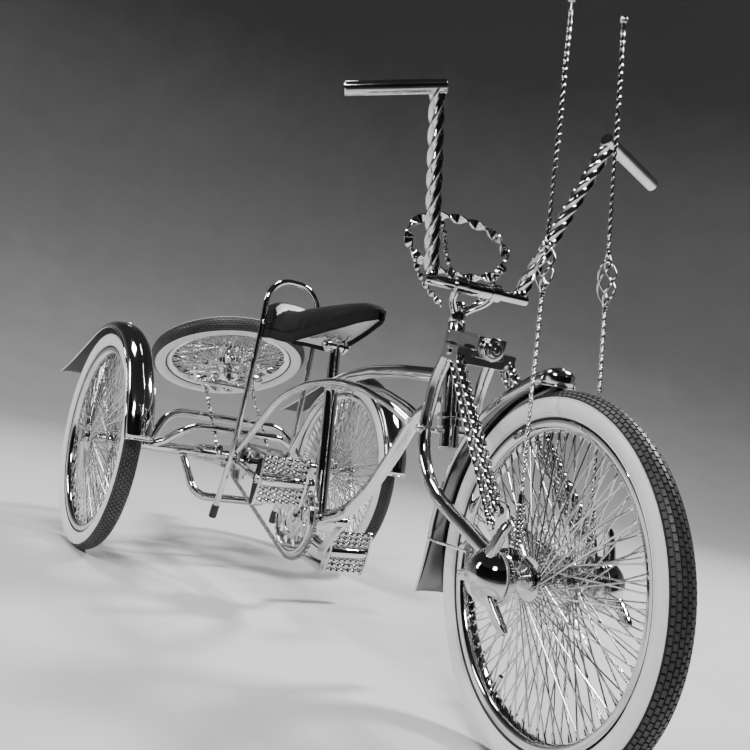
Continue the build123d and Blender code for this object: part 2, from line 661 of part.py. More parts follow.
# ---- write every piece ----
for name in ("top_tube", "down_tube", "rear_tubes", "chainstays", "sissy_bar", "rack_rear_hoop", "rack_front_hoop", "lower_hoop"):
    save(tubes[name].part, name)
for name, piece in (("head_tube", head_tube), ("seat_tube", seat_tube), ("seat_post", seat_post), ("seat", seat), ("axle_carrier", axle_carrier),
                    ("axle_housing", axle_housing), ("rear_fenders", rear_fenders), ("fender_braces", fender_braces), ("spare_carrier", spare_carrier), ("spare_axle", spare_axle),
                    ("axle_shaft", axle_shaft), ("jackshaft", jackshaft), ("jack_axle", jack_axle), ("crank", crank), ("chainring", chainring)):
    save(piece.part, name)
for name in ("drive_chain", "axle_chain"):
    save(chains[name].part, name)
for name in ("right", "left"):
    save(pedals[name].part, "pedal_" + name)
for name in ("rear_right", "rear_left", "spare"):
    save(tyres[name].part, name + "_tyre")
    save(wheels[name].part, name + "_wheel")
for name, piece in (("front_tyre", tyres["front"]), ("front_wheel", wheels["front"]), ("steerer", steerer), ("fork_legs", tubes["fork_legs"]), ("fork_crown", fork_crown),
                    ("springer_yoke", springer_yoke), ("springer_bars", springer_bars), ("rockers", rockers), ("front_axle", front_axle), ("spinner_caps", spinner_caps),
                    ("front_fender", front_fender), ("fender_stay", fender_stay), ("stem", stem), ("crossbar", tubes["crossbar"]), ("bar_uprights", bar_uprights),
                    ("grips", grips), ("ring_ornament", ring_ornament), ("antennas", antennas)):
    save(steered(piece.part), name)
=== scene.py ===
import bpy
import bmesh
import math
import random
import numpy as np
from mathutils import Vector, Matrix


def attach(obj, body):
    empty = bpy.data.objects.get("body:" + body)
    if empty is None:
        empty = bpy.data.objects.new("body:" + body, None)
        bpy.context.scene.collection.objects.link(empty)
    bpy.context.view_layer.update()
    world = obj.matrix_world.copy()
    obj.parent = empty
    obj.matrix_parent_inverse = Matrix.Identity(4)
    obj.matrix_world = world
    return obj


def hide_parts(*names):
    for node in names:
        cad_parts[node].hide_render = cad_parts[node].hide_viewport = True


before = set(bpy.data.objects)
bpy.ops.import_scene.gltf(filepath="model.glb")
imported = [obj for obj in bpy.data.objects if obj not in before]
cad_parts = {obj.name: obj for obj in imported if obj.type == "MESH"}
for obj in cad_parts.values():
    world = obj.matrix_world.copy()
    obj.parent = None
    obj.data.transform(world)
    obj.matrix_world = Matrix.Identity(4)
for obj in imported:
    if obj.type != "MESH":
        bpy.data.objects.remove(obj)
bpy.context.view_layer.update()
random.seed(7)
rng = np.random.RandomState(7)

# ------------------------------------------------------------------ shared numbers (mm, rear axle at x = 0)
X_MID = 534.362
PI = math.pi
HEAD_TILT = math.radians(10.2)
REST = math.radians(-10.17)
SH, CH = math.sin(HEAD_TILT), math.cos(HEAD_TILT)
O = np.array([879.5, 0.0, 252.7])
K = np.array([-SH, 0.0, CH])
PIVOT = np.array([1175.0, 0.0, 252.7])
STEER = np.array(Matrix.Rotation(REST, 3, Vector(K)))


def at(d):
    return O + K * d


def unit(v):
    v = np.asarray(v, float)
    return v / np.linalg.norm(v)


# ------------------------------------------------------------------ materials
def new_mat(name):
    m = bpy.data.materials.new(name)
    m.use_nodes = True
    nt = m.node_tree
    return m, nt, nt.nodes["Principled BSDF"]


def noise(nt, scale, detail=4.0, rough=0.5, coord="Object"):
    tc = nt.nodes.new("ShaderNodeTexCoord")
    n = nt.nodes.new("ShaderNodeTexNoise")
    n.inputs["Scale"].default_value = scale
    n.inputs["Detail"].default_value = detail
    n.inputs["Roughness"].default_value = rough
    nt.links.new(tc.outputs[coord], n.inputs["Vector"])
    return n


def ramp(nt, src, stops):
    r = nt.nodes.new("ShaderNodeValToRGB")
    cr = r.color_ramp
    while len(cr.elements) > 1:
        cr.elements.remove(cr.elements[-1])
    cr.elements[0].position = stops[0][0]
    cr.elements[0].color = (*stops[0][1], 1)
    for p, c in stops[1:]:
        e = cr.elements.new(p)
        e.color = (*c, 1)
    nt.links.new(src, r.inputs["Fac"])
    return r


def maprange(nt, src, a, b, lo=0.3, hi=0.7):
    m = nt.nodes.new("ShaderNodeMapRange")
    m.inputs["From Min"].default_value = lo
    m.inputs["From Max"].default_value = hi
    m.inputs["To Min"].default_value = a
    m.inputs["To Max"].default_value = b
    nt.links.new(src, m.inputs["Value"])
    return m


def bump(nt, src, strength, dist, bsdf, prev=None):
    b = nt.nodes.new("ShaderNodeBump")
    b.inputs["Strength"].default_value = strength
    b.inputs["Distance"].default_value = dist
    nt.links.new(src, b.inputs["Height"])
    if prev is not None:
        nt.links.new(prev.outputs["Normal"], b.inputs["Normal"])
    nt.links.new(b.outputs["Normal"], bsdf.inputs["Normal"])
    return b


def grey(v):
    return (v, v, v)


def metal(name, base, dark, r0, r1, bump_s=0.03, scale=60.0):
    m, nt, p = new_mat(name)
    p.inputs["Metallic"].default_value = 1.0
    n = noise(nt, scale, 5)
    n2 = noise(nt, 9.0, 6, 0.6)
    c = ramp(nt, n2.outputs["Fac"], [(0.30, dark), (0.5, base), (0.75, base)])
    nt.links.new(c.outputs["Color"], p.inputs["Base Color"])
    r = maprange(nt, n2.outputs["Fac"], r0, r1)
    nt.links.new(r.outputs["Result"], p.inputs["Roughness"])
    bump(nt, n.outputs["Fac"], bump_s, 0.0004, p)
    return m


CHROME = metal("chrome_plate", grey(0.70), grey(0.54), 0.03, 0.085, 0.02)
CHROME_SOFT = metal("chrome_soft", grey(0.80), grey(0.62), 0.10, 0.22, 0.05, 120)
STEEL = metal("oiled_steel", grey(0.34), grey(0.16), 0.28, 0.45, 0.08, 300)
# painted shade: a darkened copy of the chrome for the inside of the front fender
CHROME_PAINTED_SHADE = metal("chrome_painted_shade_inside", grey(0.17), grey(0.06), 0.10, 0.24, 0.06, 90)
# painted shade: dark steel for the shadowed inside of the steerer's open end
PAINTED_SHADE_STEEL = metal("shadowed_steel", grey(0.10), grey(0.05), 0.35, 0.55, 0.05, 200)


def rubber(name, c0, c1, r0, r1, scale, bump_s):
    m, nt, p = new_mat(name)
    n = noise(nt, scale, 6, 0.6)
    n2 = noise(nt, 14, 5, 0.6)
    c = ramp(nt, n2.outputs["Fac"], [(0.32, c0), (0.68, c1)])
    nt.links.new(c.outputs["Color"], p.inputs["Base Color"])
    r = maprange(nt, n.outputs["Fac"], r0, r1)
    nt.links.new(r.outputs["Result"], p.inputs["Roughness"])
    bump(nt, n.outputs["Fac"], bump_s, 0.0005, p)
    return m


TYRE = rubber("tyre_rubber", grey(0.012), grey(0.028), 0.48, 0.68, 500, 0.25)
# painted shade: near-black matte for the inside of the rear fenders
PAINTED_SHADE_UNDERSIDE = rubber("fender_painted_shade_underside", grey(0.012), grey(0.035), 0.55, 0.75, 220, 0.2)
WHITE = rubber("white_sidewall", grey(0.82), grey(0.92), 0.30, 0.45, 260, 0.08)
TREAD = rubber("tread_rubber", grey(0.030), grey(0.062), 0.38, 0.58, 500, 0.2)
TIP = rubber("tip_rubber", grey(0.010), grey(0.022), 0.40, 0.60, 400, 0.2)


def velour(name, c0, c1, sheen, tint):
    m, nt, p = new_mat(name)
    pile = noise(nt, 900, 3, 0.7)
    crush = noise(nt, 38, 7, 0.72)
    c = ramp(nt, crush.outputs["Fac"], [(0.30, c0), (0.52, tuple(0.5 * (a + b) for a, b in zip(c0, c1))), (0.72, c1)])
    nt.links.new(c.outputs["Color"], p.inputs["Base Color"])
    r = maprange(nt, crush.outputs["Fac"], 0.72, 0.95)
    nt.links.new(r.outputs["Result"], p.inputs["Roughness"])
    p.inputs["Sheen Weight"].default_value = sheen
    p.inputs["Sheen Roughness"].default_value = 0.35
    p.inputs["Sheen Tint"].default_value = (*tint, 1)
    p.inputs["Specular IOR Level"].default_value = 0.25
    b = bump(nt, pile.outputs["Fac"], 0.5, 0.0006, p)
    bump(nt, crush.outputs["Fac"], 0.55, 0.002, p, b)
    return m


VELOUR = velour("black_velour", grey(0.002), grey(0.009), 0.035, grey(0.4))
VELOUR_WHITE = velour("white_velour", grey(0.74), grey(0.90), 0.3, grey(0.9))


def pan_mat():
    m, nt, p = new_mat("seat_pan_enamel")
    n = noise(nt, 30, 6, 0.6)
    c = ramp(nt, n.outputs["Fac"], [(0.3, grey(0.42)), (0.7, grey(0.56))])
    nt.links.new(c.outputs["Color"], p.inputs["Base Color"])
    r = maprange(nt, n.outputs["Fac"], 0.35, 0.55)
    nt.links.new(r.outputs["Result"], p.inputs["Roughness"])
    bump(nt, n.outputs["Fac"], 0.1, 0.0006, p)
    return m


PAN = pan_mat()


# ------------------------------------------------------------------ geometry helpers
class Geo:
    """verts in mm, faces and one material index per face; every face is shaded smooth when made"""

    def __init__(self):
        self.v, self.f, self.m = [], [], []

    def add(self, vf, mat=0):
        v, f = vf
        o = len(self.v)
        self.v.extend([tuple(float(c) for c in p) for p in v])
        self.f.extend([tuple(i + o for i in q) for q in f])
        if isinstance(mat, (list, tuple)):
            self.m.extend(mat)
        else:
            self.m.extend([mat] * len(f))

    def make(self, name, mats, body, slot="chrome", replaces=(), steered=None, bevel=0.0, sharp=35.0, sub=0):
        v = np.array(self.v, float)
        if steered is None:
            steered = body in ("fork", "front_wheel")
        if steered:
            v = (v - O) @ STEER.T + O
        v = (v - np.array([X_MID, 0, 0])) / 1000.0
        me = bpy.data.meshes.new(name)
        me.from_pydata([tuple(p) for p in v], [], self.f)
        for m in mats:
            me.materials.append(m)
        me.polygons.foreach_set("material_index", self.m)
        bm = bmesh.new()
        bm.from_mesh(me)
        bmesh.ops.remove_doubles(bm, verts=bm.verts, dist=1e-6)
        bmesh.ops.dissolve_degenerate(bm, edges=bm.edges, dist=1e-7)
        bmesh.ops.recalc_face_normals(bm, faces=bm.faces)
        bm.to_mesh(me)
        bm.free()
        me.polygons.foreach_set("use_smooth", [True] * len(me.polygons))
        me.set_sharp_from_angle(angle=math.radians(sharp))
        me.update()
        ob = bpy.data.objects.new(name, me)
        bpy.context.scene.collection.objects.link(ob)
        if bevel:
            b = ob.modifiers.new("bevel", "BEVEL")
            b.width = bevel / 1000.0
            b.segments = 3
            b.limit_method = "ANGLE"
            b.angle_limit = math.radians(32)
            b.harden_normals = True
        if sub:
            s = ob.modifiers.new("sub", "SUBSURF")
            s.levels = s.render_levels = sub
        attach(ob, body)
        if replaces:
            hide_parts(*([replaces] if isinstance(replaces, str) else replaces))
        return ob


def fillet(points, r, step=8.0):
    """polyline with its corners rounded by arcs"""
    P = [np.asarray(p, float) for p in points]
    out = [P[0]]
    for i in range(1, len(P) - 1):
        a, b, c = P[i - 1], P[i], P[i + 1]
        u, w = unit(a - b), unit(c - b)
        ang = math.acos(max(-1, min(1, float(u @ w))))
        t = min(r / math.tan(ang / 2), 0.48 * np.linalg.norm(a - b), 0.48 * np.linalg.norm(c - b))
        rr = t * math.tan(ang / 2)
        bis = unit(u + w)
        cen = b + bis * (rr / math.sin(ang / 2))
        p0, p1 = b + u * t, b + w * t
        e0, e1 = unit(p0 - cen), unit(p1 - cen)
        sweep_a = math.acos(max(-1, min(1, float(e0 @ e1))))
        n = max(3, int(math.ceil(rr * sweep_a / step)))
        for k in range(n + 1):
            q = k / n
            s0 = math.sin((1 - q) * sweep_a) / math.sin(sweep_a) if sweep_a > 1e-6 else 1 - q
            s1 = math.sin(q * sweep_a) / math.sin(sweep_a) if sweep_a > 1e-6 else q
            out.append(cen + rr * (e0 * s0 + e1 * s1))
    out.append(P[-1])
    return np.array(out)


def resample(path, step, closed=False):
    p = np.asarray(path, float)
    if closed:
        p = np.vstack([p, p[:1]])
    seg = np.linalg.norm(np.diff(p, axis=0), axis=1)
    s = np.concatenate([[0], np.cumsum(seg)])
    n = max(2, int(round(s[-1] / step)) + 1)
    t = np.linspace(0, s[-1], n)
    q = np.stack([np.interp(t, s, p[:, i]) for i in range(3)], 1)
    return q[:-1] if closed else q


def frames(path, up=None, closed=False):
    p = np.asarray(path, float)
    if closed:
        T = np.roll(p, -1, 0) - np.roll(p, 1, 0)
    else:
        T = np.gradient(p, axis=0)
    T /= np.linalg.norm(T, axis=1)[:, None]
    if up is None:
        up = np.array([0, 0, 1.0]) if abs(T[0][2]) < 0.9 else np.array([1.0, 0, 0])
    N = np.zeros_like(T)
    n = unit(up - T[0] * (up @ T[0]))
    N[0] = n
    for i in range(1, len(p)):
        n = n - T[i] * (n @ T[i])
        n = unit(n)
        N[i] = n
    B = np.cross(T, N)
    return T, N, B


def sweep(path, section, twist=None, scale=None, closed=False, up=None, caps=True):
    """section: Kx2 points (along N, along B); twist: angle at each point; scale: factor at each point"""
    p = np.asarray(path, float)
    T, N, B = frames(p, up, closed)
    sec = np.asarray(section, float)
    k = len(sec)
    V = []
    for i in range(len(p)):
        a = 0.0 if twist is None else twist[i]
        s = 1.0 if scale is None else scale[i]
        c_, s_ = math.cos(a), math.sin(a)
        x = sec[:, 0] * c_ - sec[:, 1] * s_
        y = sec[:, 0] * s_ + sec[:, 1] * c_
        if np.ndim(s):
            x, y = x * s[0], y * s[1]
        else:
            x, y = x * s, y * s
        V.append(p[i] + x[:, None] * N[i] + y[:, None] * B[i])
    V = np.concatenate(V)
    F = []
    n = len(p)
    for i in range(n if closed else n - 1):
        j = (i + 1) % n
        for q in range(k):
            r = (q + 1) % k
            F.append((i * k + q, i * k + r, j * k + r, j * k + q))
    if caps and not closed:
        F.append(tuple(range(k))[::-1])
        F.append(tuple((n - 1) * k + q for q in range(k)))
    return V, F


def ring(r, n=16):
    t = np.linspace(0, 2 * PI, n, endpoint=False)
    return np.stack([r * np.cos(t), r * np.sin(t)], 1)


def square(a, b=None, c=0.12):
    """rectangle with small chamfers"""
    b = a if b is None else b
    x, y, k = a / 2, b / 2, c * min(a, b)
    return np.array([(x, -y + k), (x, y - k), (x - k, y), (-x + k, y), (-x, y - k), (-x, -y + k), (-x + k, -y), (x - k, -y)])


def lobed(r, depth=0.16, lobes=4, n=28):
    """round bar with soft lobes, as a forged twisted square bar has"""
    t = np.linspace(0, 2 * PI, n, endpoint=False)
    q = r * (1 - depth + depth * np.cos(lobes * t))
    return np.stack([q * np.cos(t), q * np.sin(t)], 1)


def arclen(path):
    return np.concatenate([[0], np.cumsum(np.linalg.norm(np.diff(path, axis=0), axis=1))])


def tube(points, r, bend=0.0, n=16, step=6.0, ends=True):
    p = fillet(points, bend, step) if bend else np.asarray(points, float)
    vf = sweep(p, ring(r, n), caps=ends)
    return vf


def straight(a, b, step):
    a, b = np.asarray(a, float), np.asarray(b, float)
    n = max(2, int(np.linalg.norm(b - a) / step) + 1)
    return a + (b - a) * np.linspace(0, 1, n)[:, None]


def twisted(a, b, size, pitch, step=2.0, up=None, taper=6.0, size_b=None):
    """square bar twisted along its length; pitch is one whole turn"""
    p = straight(a, b, step)
    s = arclen(p)
    tw = s / pitch * 2 * PI
    sec = lobed(size * 0.62) if size_b is None else square(size, size_b)
    return sweep(p, sec, twist=tw, up=up)


def revolve(profile, c, axis, n=48, closed=False, a0=0.0, a1=2 * PI, ref=None):
    """profile of (radius, height) points about a line through c"""
    c, axis = np.asarray(c, float), unit(axis)
    if ref is None:
        ref = np.array([0, 0, 1.0]) if abs(axis[2]) < 0.9 else np.array([1.0, 0, 0])
    u = unit(ref - axis * (ref @ axis))
    w = np.cross(axis, u)
    full = abs((a1 - a0) - 2 * PI) < 1e-6
    steps = n if full else n + 1
    V, F = [], []
    k = len(profile)
    for i in range(steps):
        t = a0 + (a1 - a0) * i / n
        d = u * math.cos(t) + w * math.sin(t)
        for r, h in profile:
            V.append(c + d * r + axis * h)
    for i in range(n):
        j = (i + 1) % steps if full else i + 1
        for q in range(k if closed else k - 1):
            r = (q + 1) % k
            F.append((i * k + q, j * k + q, j * k + r, i * k + r))
    if not full and closed:
        F.append(tuple(range(k)))
        F.append(tuple((steps - 1) * k + q for q in range(k))[::-1])
    return np.array(V), F


def disc_solid(c, axis, r, t, n=32, edge=0.6):
    """round disc or cylinder with small chamfers, from c along axis"""
    e = min(edge, r * 0.3, t * 0.3)
    return revolve([(0, 0), (r - e, 0), (r, e), (r, t - e), (r - e, t), (0, t)], c, axis, n)


def prism(outline, c, x, y, z, t):
    """outline (2-D points) in the x, y directions, extruded t along z"""
    c, x, y, z = np.asarray(c, float), unit(x), unit(y), unit(z)
    k = len(outline)
    V = [c + x * a + y * b for a, b in outline] + [c + x * a + y * b + z * t for a, b in outline]
    F = [tuple(range(k))[::-1], tuple(range(k, 2 * k))]
    for i in range(k):
        j = (i + 1) % k
        F.append((i, j, k + j, k + i))
    return np.array(V), F


def hexagon(r):
    return [(r * math.cos(PI / 3 * i), r * math.sin(PI / 3 * i)) for i in range(6)]


def hexnut(c, axis, r, t):
    axis = unit(axis)
    ref = np.array([0, 0, 1.0]) if abs(axis[2]) < 0.9 else np.array([1.0, 0, 0])
    x = unit(ref - axis * (ref @ axis))
    return prism(hexagon(r), c, x, np.cross(axis, x), axis, t)


def ball(c, r, n=24):
    prof = [(r * math.sin(PI * i / 12), -r * math.cos(PI * i / 12)) for i in range(13)]
    prof[0] = (0, -r)
    prof[-1] = (0, r)
    return revolve(prof, c, (0, 0, 1), n)


def dome_nut(c, axis, r, h):
    g = [(0, 0), (r, 0), (r, h * 0.4)] + [(r * math.cos(t), h * 0.4 + (h * 0.6) * math.sin(t)) for t in np.linspace(0.15, PI / 2, 7)]
    g[-1] = (0, h)
    return revolve(g, c, axis, 24)


# ------------------------------------------------------------------ wheels
def wheel_set(name, body, mid, radial, axle, outer, flange, half, spokes, big_hub, rep_tyre, rep_wheel, bore):
    mid, rad, axl = np.asarray(mid, float), unit(radial), unit(axle)
    wd = np.cross(rad, axl)
    step = outer - 252.0
    R0 = 230.0 + step

    def P(r, t, h):
        return mid + (rad * math.cos(t) + wd * math.sin(t)) * r + axl * h

    # carcass: round section, white sidewalls, black crown
    th = [-2.55, -2.35, -2.1, -1.85, -1.6, -1.35, -1.12, -0.98, -0.92, -0.86, -0.7, -0.5, -0.25, 0.0]
    th = th + [-t for t in th[-2::-1]]
    prof = []
    for t in th:
        rr = 21.6 if abs(t) > 0.95 else 19.8
        prof.append((R0 + rr * math.cos(t), rr * math.sin(t) * (1.0 if abs(t) > 0.9 else 0.99)))
    n = 160
    V, F = revolve(prof, mid, axl, n, ref=rad)
    k = len(prof)
    mats = []
    for i in range(n):
        for q in range(k - 1):
            tm = 0.5 * (th[q] + th[q + 1])
            mats.append(1 if 1.1 < abs(tm) < 2.45 else 0)
    g = Geo()
    g.add((V, F), mats)
    # bead lines on the sidewall
    for s in (-1, 1):
        for t, rr in ((1.08, 22.0), (2.2, 21.9)):
            c = [(R0 + rr * math.cos(t) + 0.7 * math.cos(a), s * (rr * math.sin(t)) + 0.7 * math.sin(a)) for a in np.linspace(0, 2 * PI, 6, endpoint=False)]
            g.add(revolve(c, mid, axl, 128, closed=True, ref=rad), 1)
    # tread blocks in staggered rows
    pitch_n = int(round(2 * PI * (outer) / 10.4))
    rows = [-0.84, -0.56, -0.28, 0.0, 0.28, 0.56, 0.84]
    bv, bf = [], []
    for ri, t0 in enumerate(rows):
        w = 0.115
        for i in range(pitch_n):
            a = 2 * PI * (i + (0.5 if ri % 2 else 0.0)) / pitch_n
            da = 2 * PI / pitch_n * 0.41
            o = len(bv)
            for rr, k1, k2 in ((19.6, 1.0, 1.0), (21.9, 0.86, 0.92)):
                for sa, st in ((-1, -1), (1, -1), (1, 1), (-1, 1)):
                    t = t0 + st * w * k1
                    bv.append(P(R0 + rr * math.cos(t), a + sa * da * k2, rr * math.sin(t)))
            for q in range(4):
                r = (q + 1) % 4
                bf.append((o + q, o + r, o + 4 + r, o + 4 + q))
            bf.append((o + 4, o + 5, o + 6, o + 7))
    gt = Geo()
    gt.add((np.array(bv), bf), 0)
    tread = gt.make(name + "_tread", [TREAD], body, "tyre", sharp=20)
    # tyre body
    tyre = g.make(name + "_tyre_body", [TYRE, WHITE], body, "tyre", replaces=rep_tyre, sharp=50)

    # rim: box section with rounded shoulders, a bright inner band
    gi = Geo()
    ri, ro = 196.0 + step, 211.0 + step
    rim = [(ri, -4.5), (ri + 0.8, -8), (ri + 3.2, -11.6), (ri + 6, -13.4), (ro - 3, -14.0), (ro, -14.0), (ro, -12.2), (ro - 3.2, -11.6), (ri + 6.5, -9.5), (ri + 5, -4),
           (ri + 5, 4), (ri + 6.5, 9.5), (ro - 3.2, 11.6), (ro, 12.2), (ro, 14.0), (ro - 3, 14.0), (ri + 6, 13.4), (ri + 3.2, 11.6), (ri + 0.8, 8), (ri, 4.5)]
    gi.add(revolve(rim, mid, axl, 144, closed=True, ref=rad))
    # valve stem through the rim
    vt = -2.0
    gi.add(sweep(straight(P(ri - 22, vt, 0), P(ri + 3, vt, 0), 5), ring(2.6, 10)))
    gi.add(sweep(straight(P(ri - 30, vt, 0), P(ri - 20, vt, 0), 3), ring(3.6, 12)))
    # hub
    fl = flange
    hb = [(bore, -half), (9.5, -half), (10.5, -half + 1), (11, -29.6), (fl - 7, -29.2), (fl - 1, -28.6), (fl, -27.6), (fl, -26.4), (fl - 1, -25.4), (fl - 7, -24.8), (17.5, -23.5),
          (15.5, -20), (13.5, -14), (12.8, 0), (13.5, 14), (15.5, 20), (17.5, 23.5), (fl - 7, 24.8), (fl - 1, 25.4), (fl, 26.4), (fl, 27.6), (fl - 1, 28.6), (fl - 7, 29.2), (11, 29.6), (10.5, half - 1), (9.5, half), (bore, half)]
    gi.add(revolve(hb, mid, axl, 64, closed=True, ref=rad))
    # turned rings on the hub barrel
    for h in (-8, -4, 0, 4, 8):
        c = [(12.9 + 1.0 * math.cos(a), h + 1.1 * math.sin(a)) for a in np.linspace(0, 2 * PI, 8, endpoint=False)]
        gi.add(revolve(c, mid, axl, 40, closed=True, ref=rad))
    # raised bead round each flange
    for s in (-1, 1):
        c = [(fl - 1.6 + 1.3 * math.cos(a), s * 27.0 + 2.0 * math.sin(a)) for a in np.linspace(0, 2 * PI, 8, endpoint=False)]
        gi.add(revolve(c, mid, axl, 64, closed=True, ref=rad))
    gi.make(name + "_rim_hub", [CHROME], body, "chrome", replaces=rep_wheel, sharp=32)

    # laced spokes with nipples and heads
    gs, gn = Geo(), Geo()
    per = spokes // 2
    for side in (-1, 1):
        for i in range(per):
            th0 = 2 * PI * (i + (0.5 if side > 0 else 0.0)) / per
            lean = (1 if i % 2 else -1) * 2 * round(math.radians(32) * per / (4 * PI)) * 2 * PI / per
            hh = side * (27.0 + (2.3 if i % 2 else -2.3))
            a = P(fl - 4.2, th0, hh)
            rim_t = th0 + lean
            b = P(ri + 1.0, rim_t, side * 2.2 * (1 if i % 2 else 0.4))
            gs.add(sweep(straight(a, b, 1e9), ring(1.15, 6), caps=False))
            d = unit(b - a)
            L = np.linalg.norm(b - a)
            gn.add(sweep(straight(a + d * (L - 12), b, 1e9), ring(1.9, 6), caps=True))
            ax = axl * side * (1 if i % 2 else -1)
            gn.add(revolve([(0, 1.6), (1.5, 1.0), (2.1, 0)], P(fl - 4.2, th0, side * (27.0 + (2.0 if i % 2 else -2.0))), ax, 6))
    gs.make(name + "_spokes", [CHROME], body, "chrome", sharp=60)
    gn.make(name + "_nipples", [CHROME], body, "chrome", sharp=40)
    return P


wheel_set("front_wheel", "front_wheel", PIVOT, (1, 0, 0), (0, 1, 0), 252.0, 34.0, 33.0, 144, True, "front_tyre", "front_wheel", 5.05)
wheel_set("rear_right", "rear_axle", (0, -326, 252), (1, 0, 0), (0, 1, 0), 252.0, 32.0, 34.0, 144, False, "rear_right_tyre", "rear_right_wheel", 8.02)
wheel_set("rear_left", "rear_left", (0, 326, 252), (1, 0, 0), (0, 1, 0), 252.0, 32.0, 34.0, 144, False, "rear_left_tyre", "rear_left_wheel", 8.05)
wheel_set("spare", "frame", (-120, 0, 498), (0.8924, 0, 0.4512), (0.4512, 0, -0.8924), 200.0, 32.0, 30.0, 108, False, "spare_tyre", "spare_wheel", 5.02)


# ------------------------------------------------------------------ fenders
def bezier(p0, p1, p2, p3, n):
    t = np.linspace(0, 1, n)[:, None]
    return (1 - t) ** 3 * p0 + 3 * (1 - t) ** 2 * t * p1 + 3 * (1 - t) * t * t * p2 + t ** 3 * p3


def fender(name, body, mid, R, a_start, a_end, tail, y, replaces, steered, half0=29.5, half1=38.0, crown=16.0, nose=None, flare=0.9):
    """rolled fender: arc about mid, then a flared tail out to the point tail (x, z)"""
    ang = np.radians(np.arange(a_start, a_end + 0.1, 2.0))
    arc = np.stack([mid[0] + R * np.cos(ang), mid[1] + R * np.sin(ang)], 1)
    e = math.radians(a_end)
    tan = np.array([-math.sin(e), math.cos(e)])
    p0, p3 = arc[-1], np.array(tail, float)
    L = np.linalg.norm(p3 - p0)
    out = unit(p3 - p0 + np.array([math.cos(e), math.sin(e)]) * flare * L)
    tl = bezier(p0, p0 + tan * L * 0.42, p3 - out * L * 0.30, p3, 16)
    n_tip = 5
    if nose is not None:
        # bulb at the front end, from the lip up over the crown to the arc
        q0, q1, dr = np.array(nose[0], float), np.array(nose[1], float), np.array([math.sin(ang[0]), -math.cos(ang[0])])
        nb = bezier(q0, q1, arc[0] + dr * 52, arc[0], 18)
        arc = np.vstack([nb[:-1], arc])
        n_tip = 10
    line = np.vstack([arc, tl[1:]])
    T = np.gradient(line, axis=0)
    T /= np.linalg.norm(T, axis=1)[:, None]
    Nn = np.stack([T[:, 1], -T[:, 0]], 1)        # outward from the wheel
    n_arc = len(arc)
    us = np.linspace(-1, 1, 21)
    V, F, VI = [], [], []
    edges = ([], [])
    for i in range(len(line)):
        q = max(0.0, (i - n_arc + 1) / (len(line) - n_arc))
        w = half0 + (half1 - half0) * q ** 1.5
        c = crown * (1 - 0.72 * q)
        st = min(1.0, (i + 1) / n_tip)
        wf = w * (0.80 + 0.20 * st ** 0.6) if nose is None else w * (0.52 + 0.48 * math.sqrt(1 - (1 - st) ** 2))
        for k_, u in enumerate(us):
            drop = c * (1 - math.sqrt(max(0.0, 1 - abs(u) ** 2.4)))
            pt = line[i] - Nn[i] * drop
            V.append((pt[0], y + wf * u, pt[1]))
            pi_ = pt - Nn[i] * 1.3
            VI.append((pi_[0], y + (wf - 1.3) * u, pi_[1]))
            if k_ in (0, len(us) - 1):
                edges[0 if k_ == 0 else 1].append((pt[0], y + wf * u, pt[1]))
    k = len(us)
    for i in range(len(line) - 1):
        for j in range(k - 1):
            F.append((i * k + j, i * k + j + 1, (i + 1) * k + j + 1, (i + 1) * k + j))
    g = Geo()
    g.add((np.array(V), F))
    ob = g.make(name, [CHROME], body, "chrome", replaces=replaces, steered=steered, sharp=70)
    # the inside of the sheet: a second, dark sheet just under the skin, painted shade
    gi = Geo()
    gi.add((np.array(VI), F))
    inner = gi.make(name + "_inside", [CHROME_PAINTED_SHADE if nose is not None else PAINTED_SHADE_UNDERSIDE], body, "chrome", steered=steered, sharp=70)
    for o_, th_ in ((ob, 0.0014), (inner, 0.0005)):
        sol = o_.modifiers.new("sheet", "SOLIDIFY")
        sol.thickness = th_
        sol.offset = 0
    # rolled edge all round
    ge = Geo()
    last = [V[(len(line) - 1) * k + j] for j in range(k)]
    first = [V[j] for j in range(k)]
    loop_pts = edges[0] + last[1:-1] + edges[1][::-1] + first[1:-1][::-1]
    ge.add(sweep(resample(np.array(loop_pts), 5.0, closed=True), ring(1.7, 8), closed=True))
    # raised centre bead
    ctr = [V[i * k + k // 2] for i in range(2, n_arc + 3)]
    ge.add(sweep(np.array(ctr), ring(1.5, 8)))
    ge.make(name + "_edge", [CHROME], body, "chrome", steered=steered, sharp=60)
    return line


fender("front_fender_skin", "fork", (1155, 240), 286.0, 112, 178, (869, 156), 0.0, "front_fender", True, crown=25.0, half1=31.5, flare=0.12, nose=((1151, 508), (1158, 556)))
for s, nm in ((-1, "right"), (1, "left")):
    fender("rear_fender_" + nm, "frame", (4, 246), 278.5, 8, 114, (-347.0, 386), s * 326.0, ("rear_fenders",) if s < 0 else (), False, crown=17.0, half1=36.5, flare=0.10)

# ------------------------------------------------------------------ fender stays, braces and ball ornaments
g = Geo()
for s in (1, -1):
    g.add(tube([(893, s * 31.0, 246), (940, s * 38, 249), (1046, s * 47.5, 258)], 2.5, 60, 10))
g.make("front_fender_stays", [CHROME], "fork", "chrome", replaces="fender_stay")
g = Geo()
for s in (1, -1):
    for dx in (1, -1):
        a, b = np.array([dx * 14, s * 262, 266.0]), np.array([dx * 60, s * 297, 505.0])
        p = straight(a, b, 2.5)
        sl = arclen(p)
        g.add(sweep(p, square(8, 3.2), twist=sl / 60.0 * 2 * PI))
    # clamp where the braces meet the housing
    g.add(disc_solid((0, s * 256, 252), (0, s, 0), 19, 12, 40))
g.make("fender_brace_bars", [CHROME], "frame", "chrome", replaces="fender_braces", sharp=30)
g = Geo()
for s in (1, -1):
    n_ = unit((0.2, 0, 0.98))
    g.add(disc_solid((60, s * 326, 517.5), n_, 6.5, 3, 24))
    g.add(dome_nut(np.array((60, s * 326, 517.5)) + n_ * 2.8, n_, 5.2, 5.5))
g.make("fender_balls", [CHROME], "frame", "chrome")

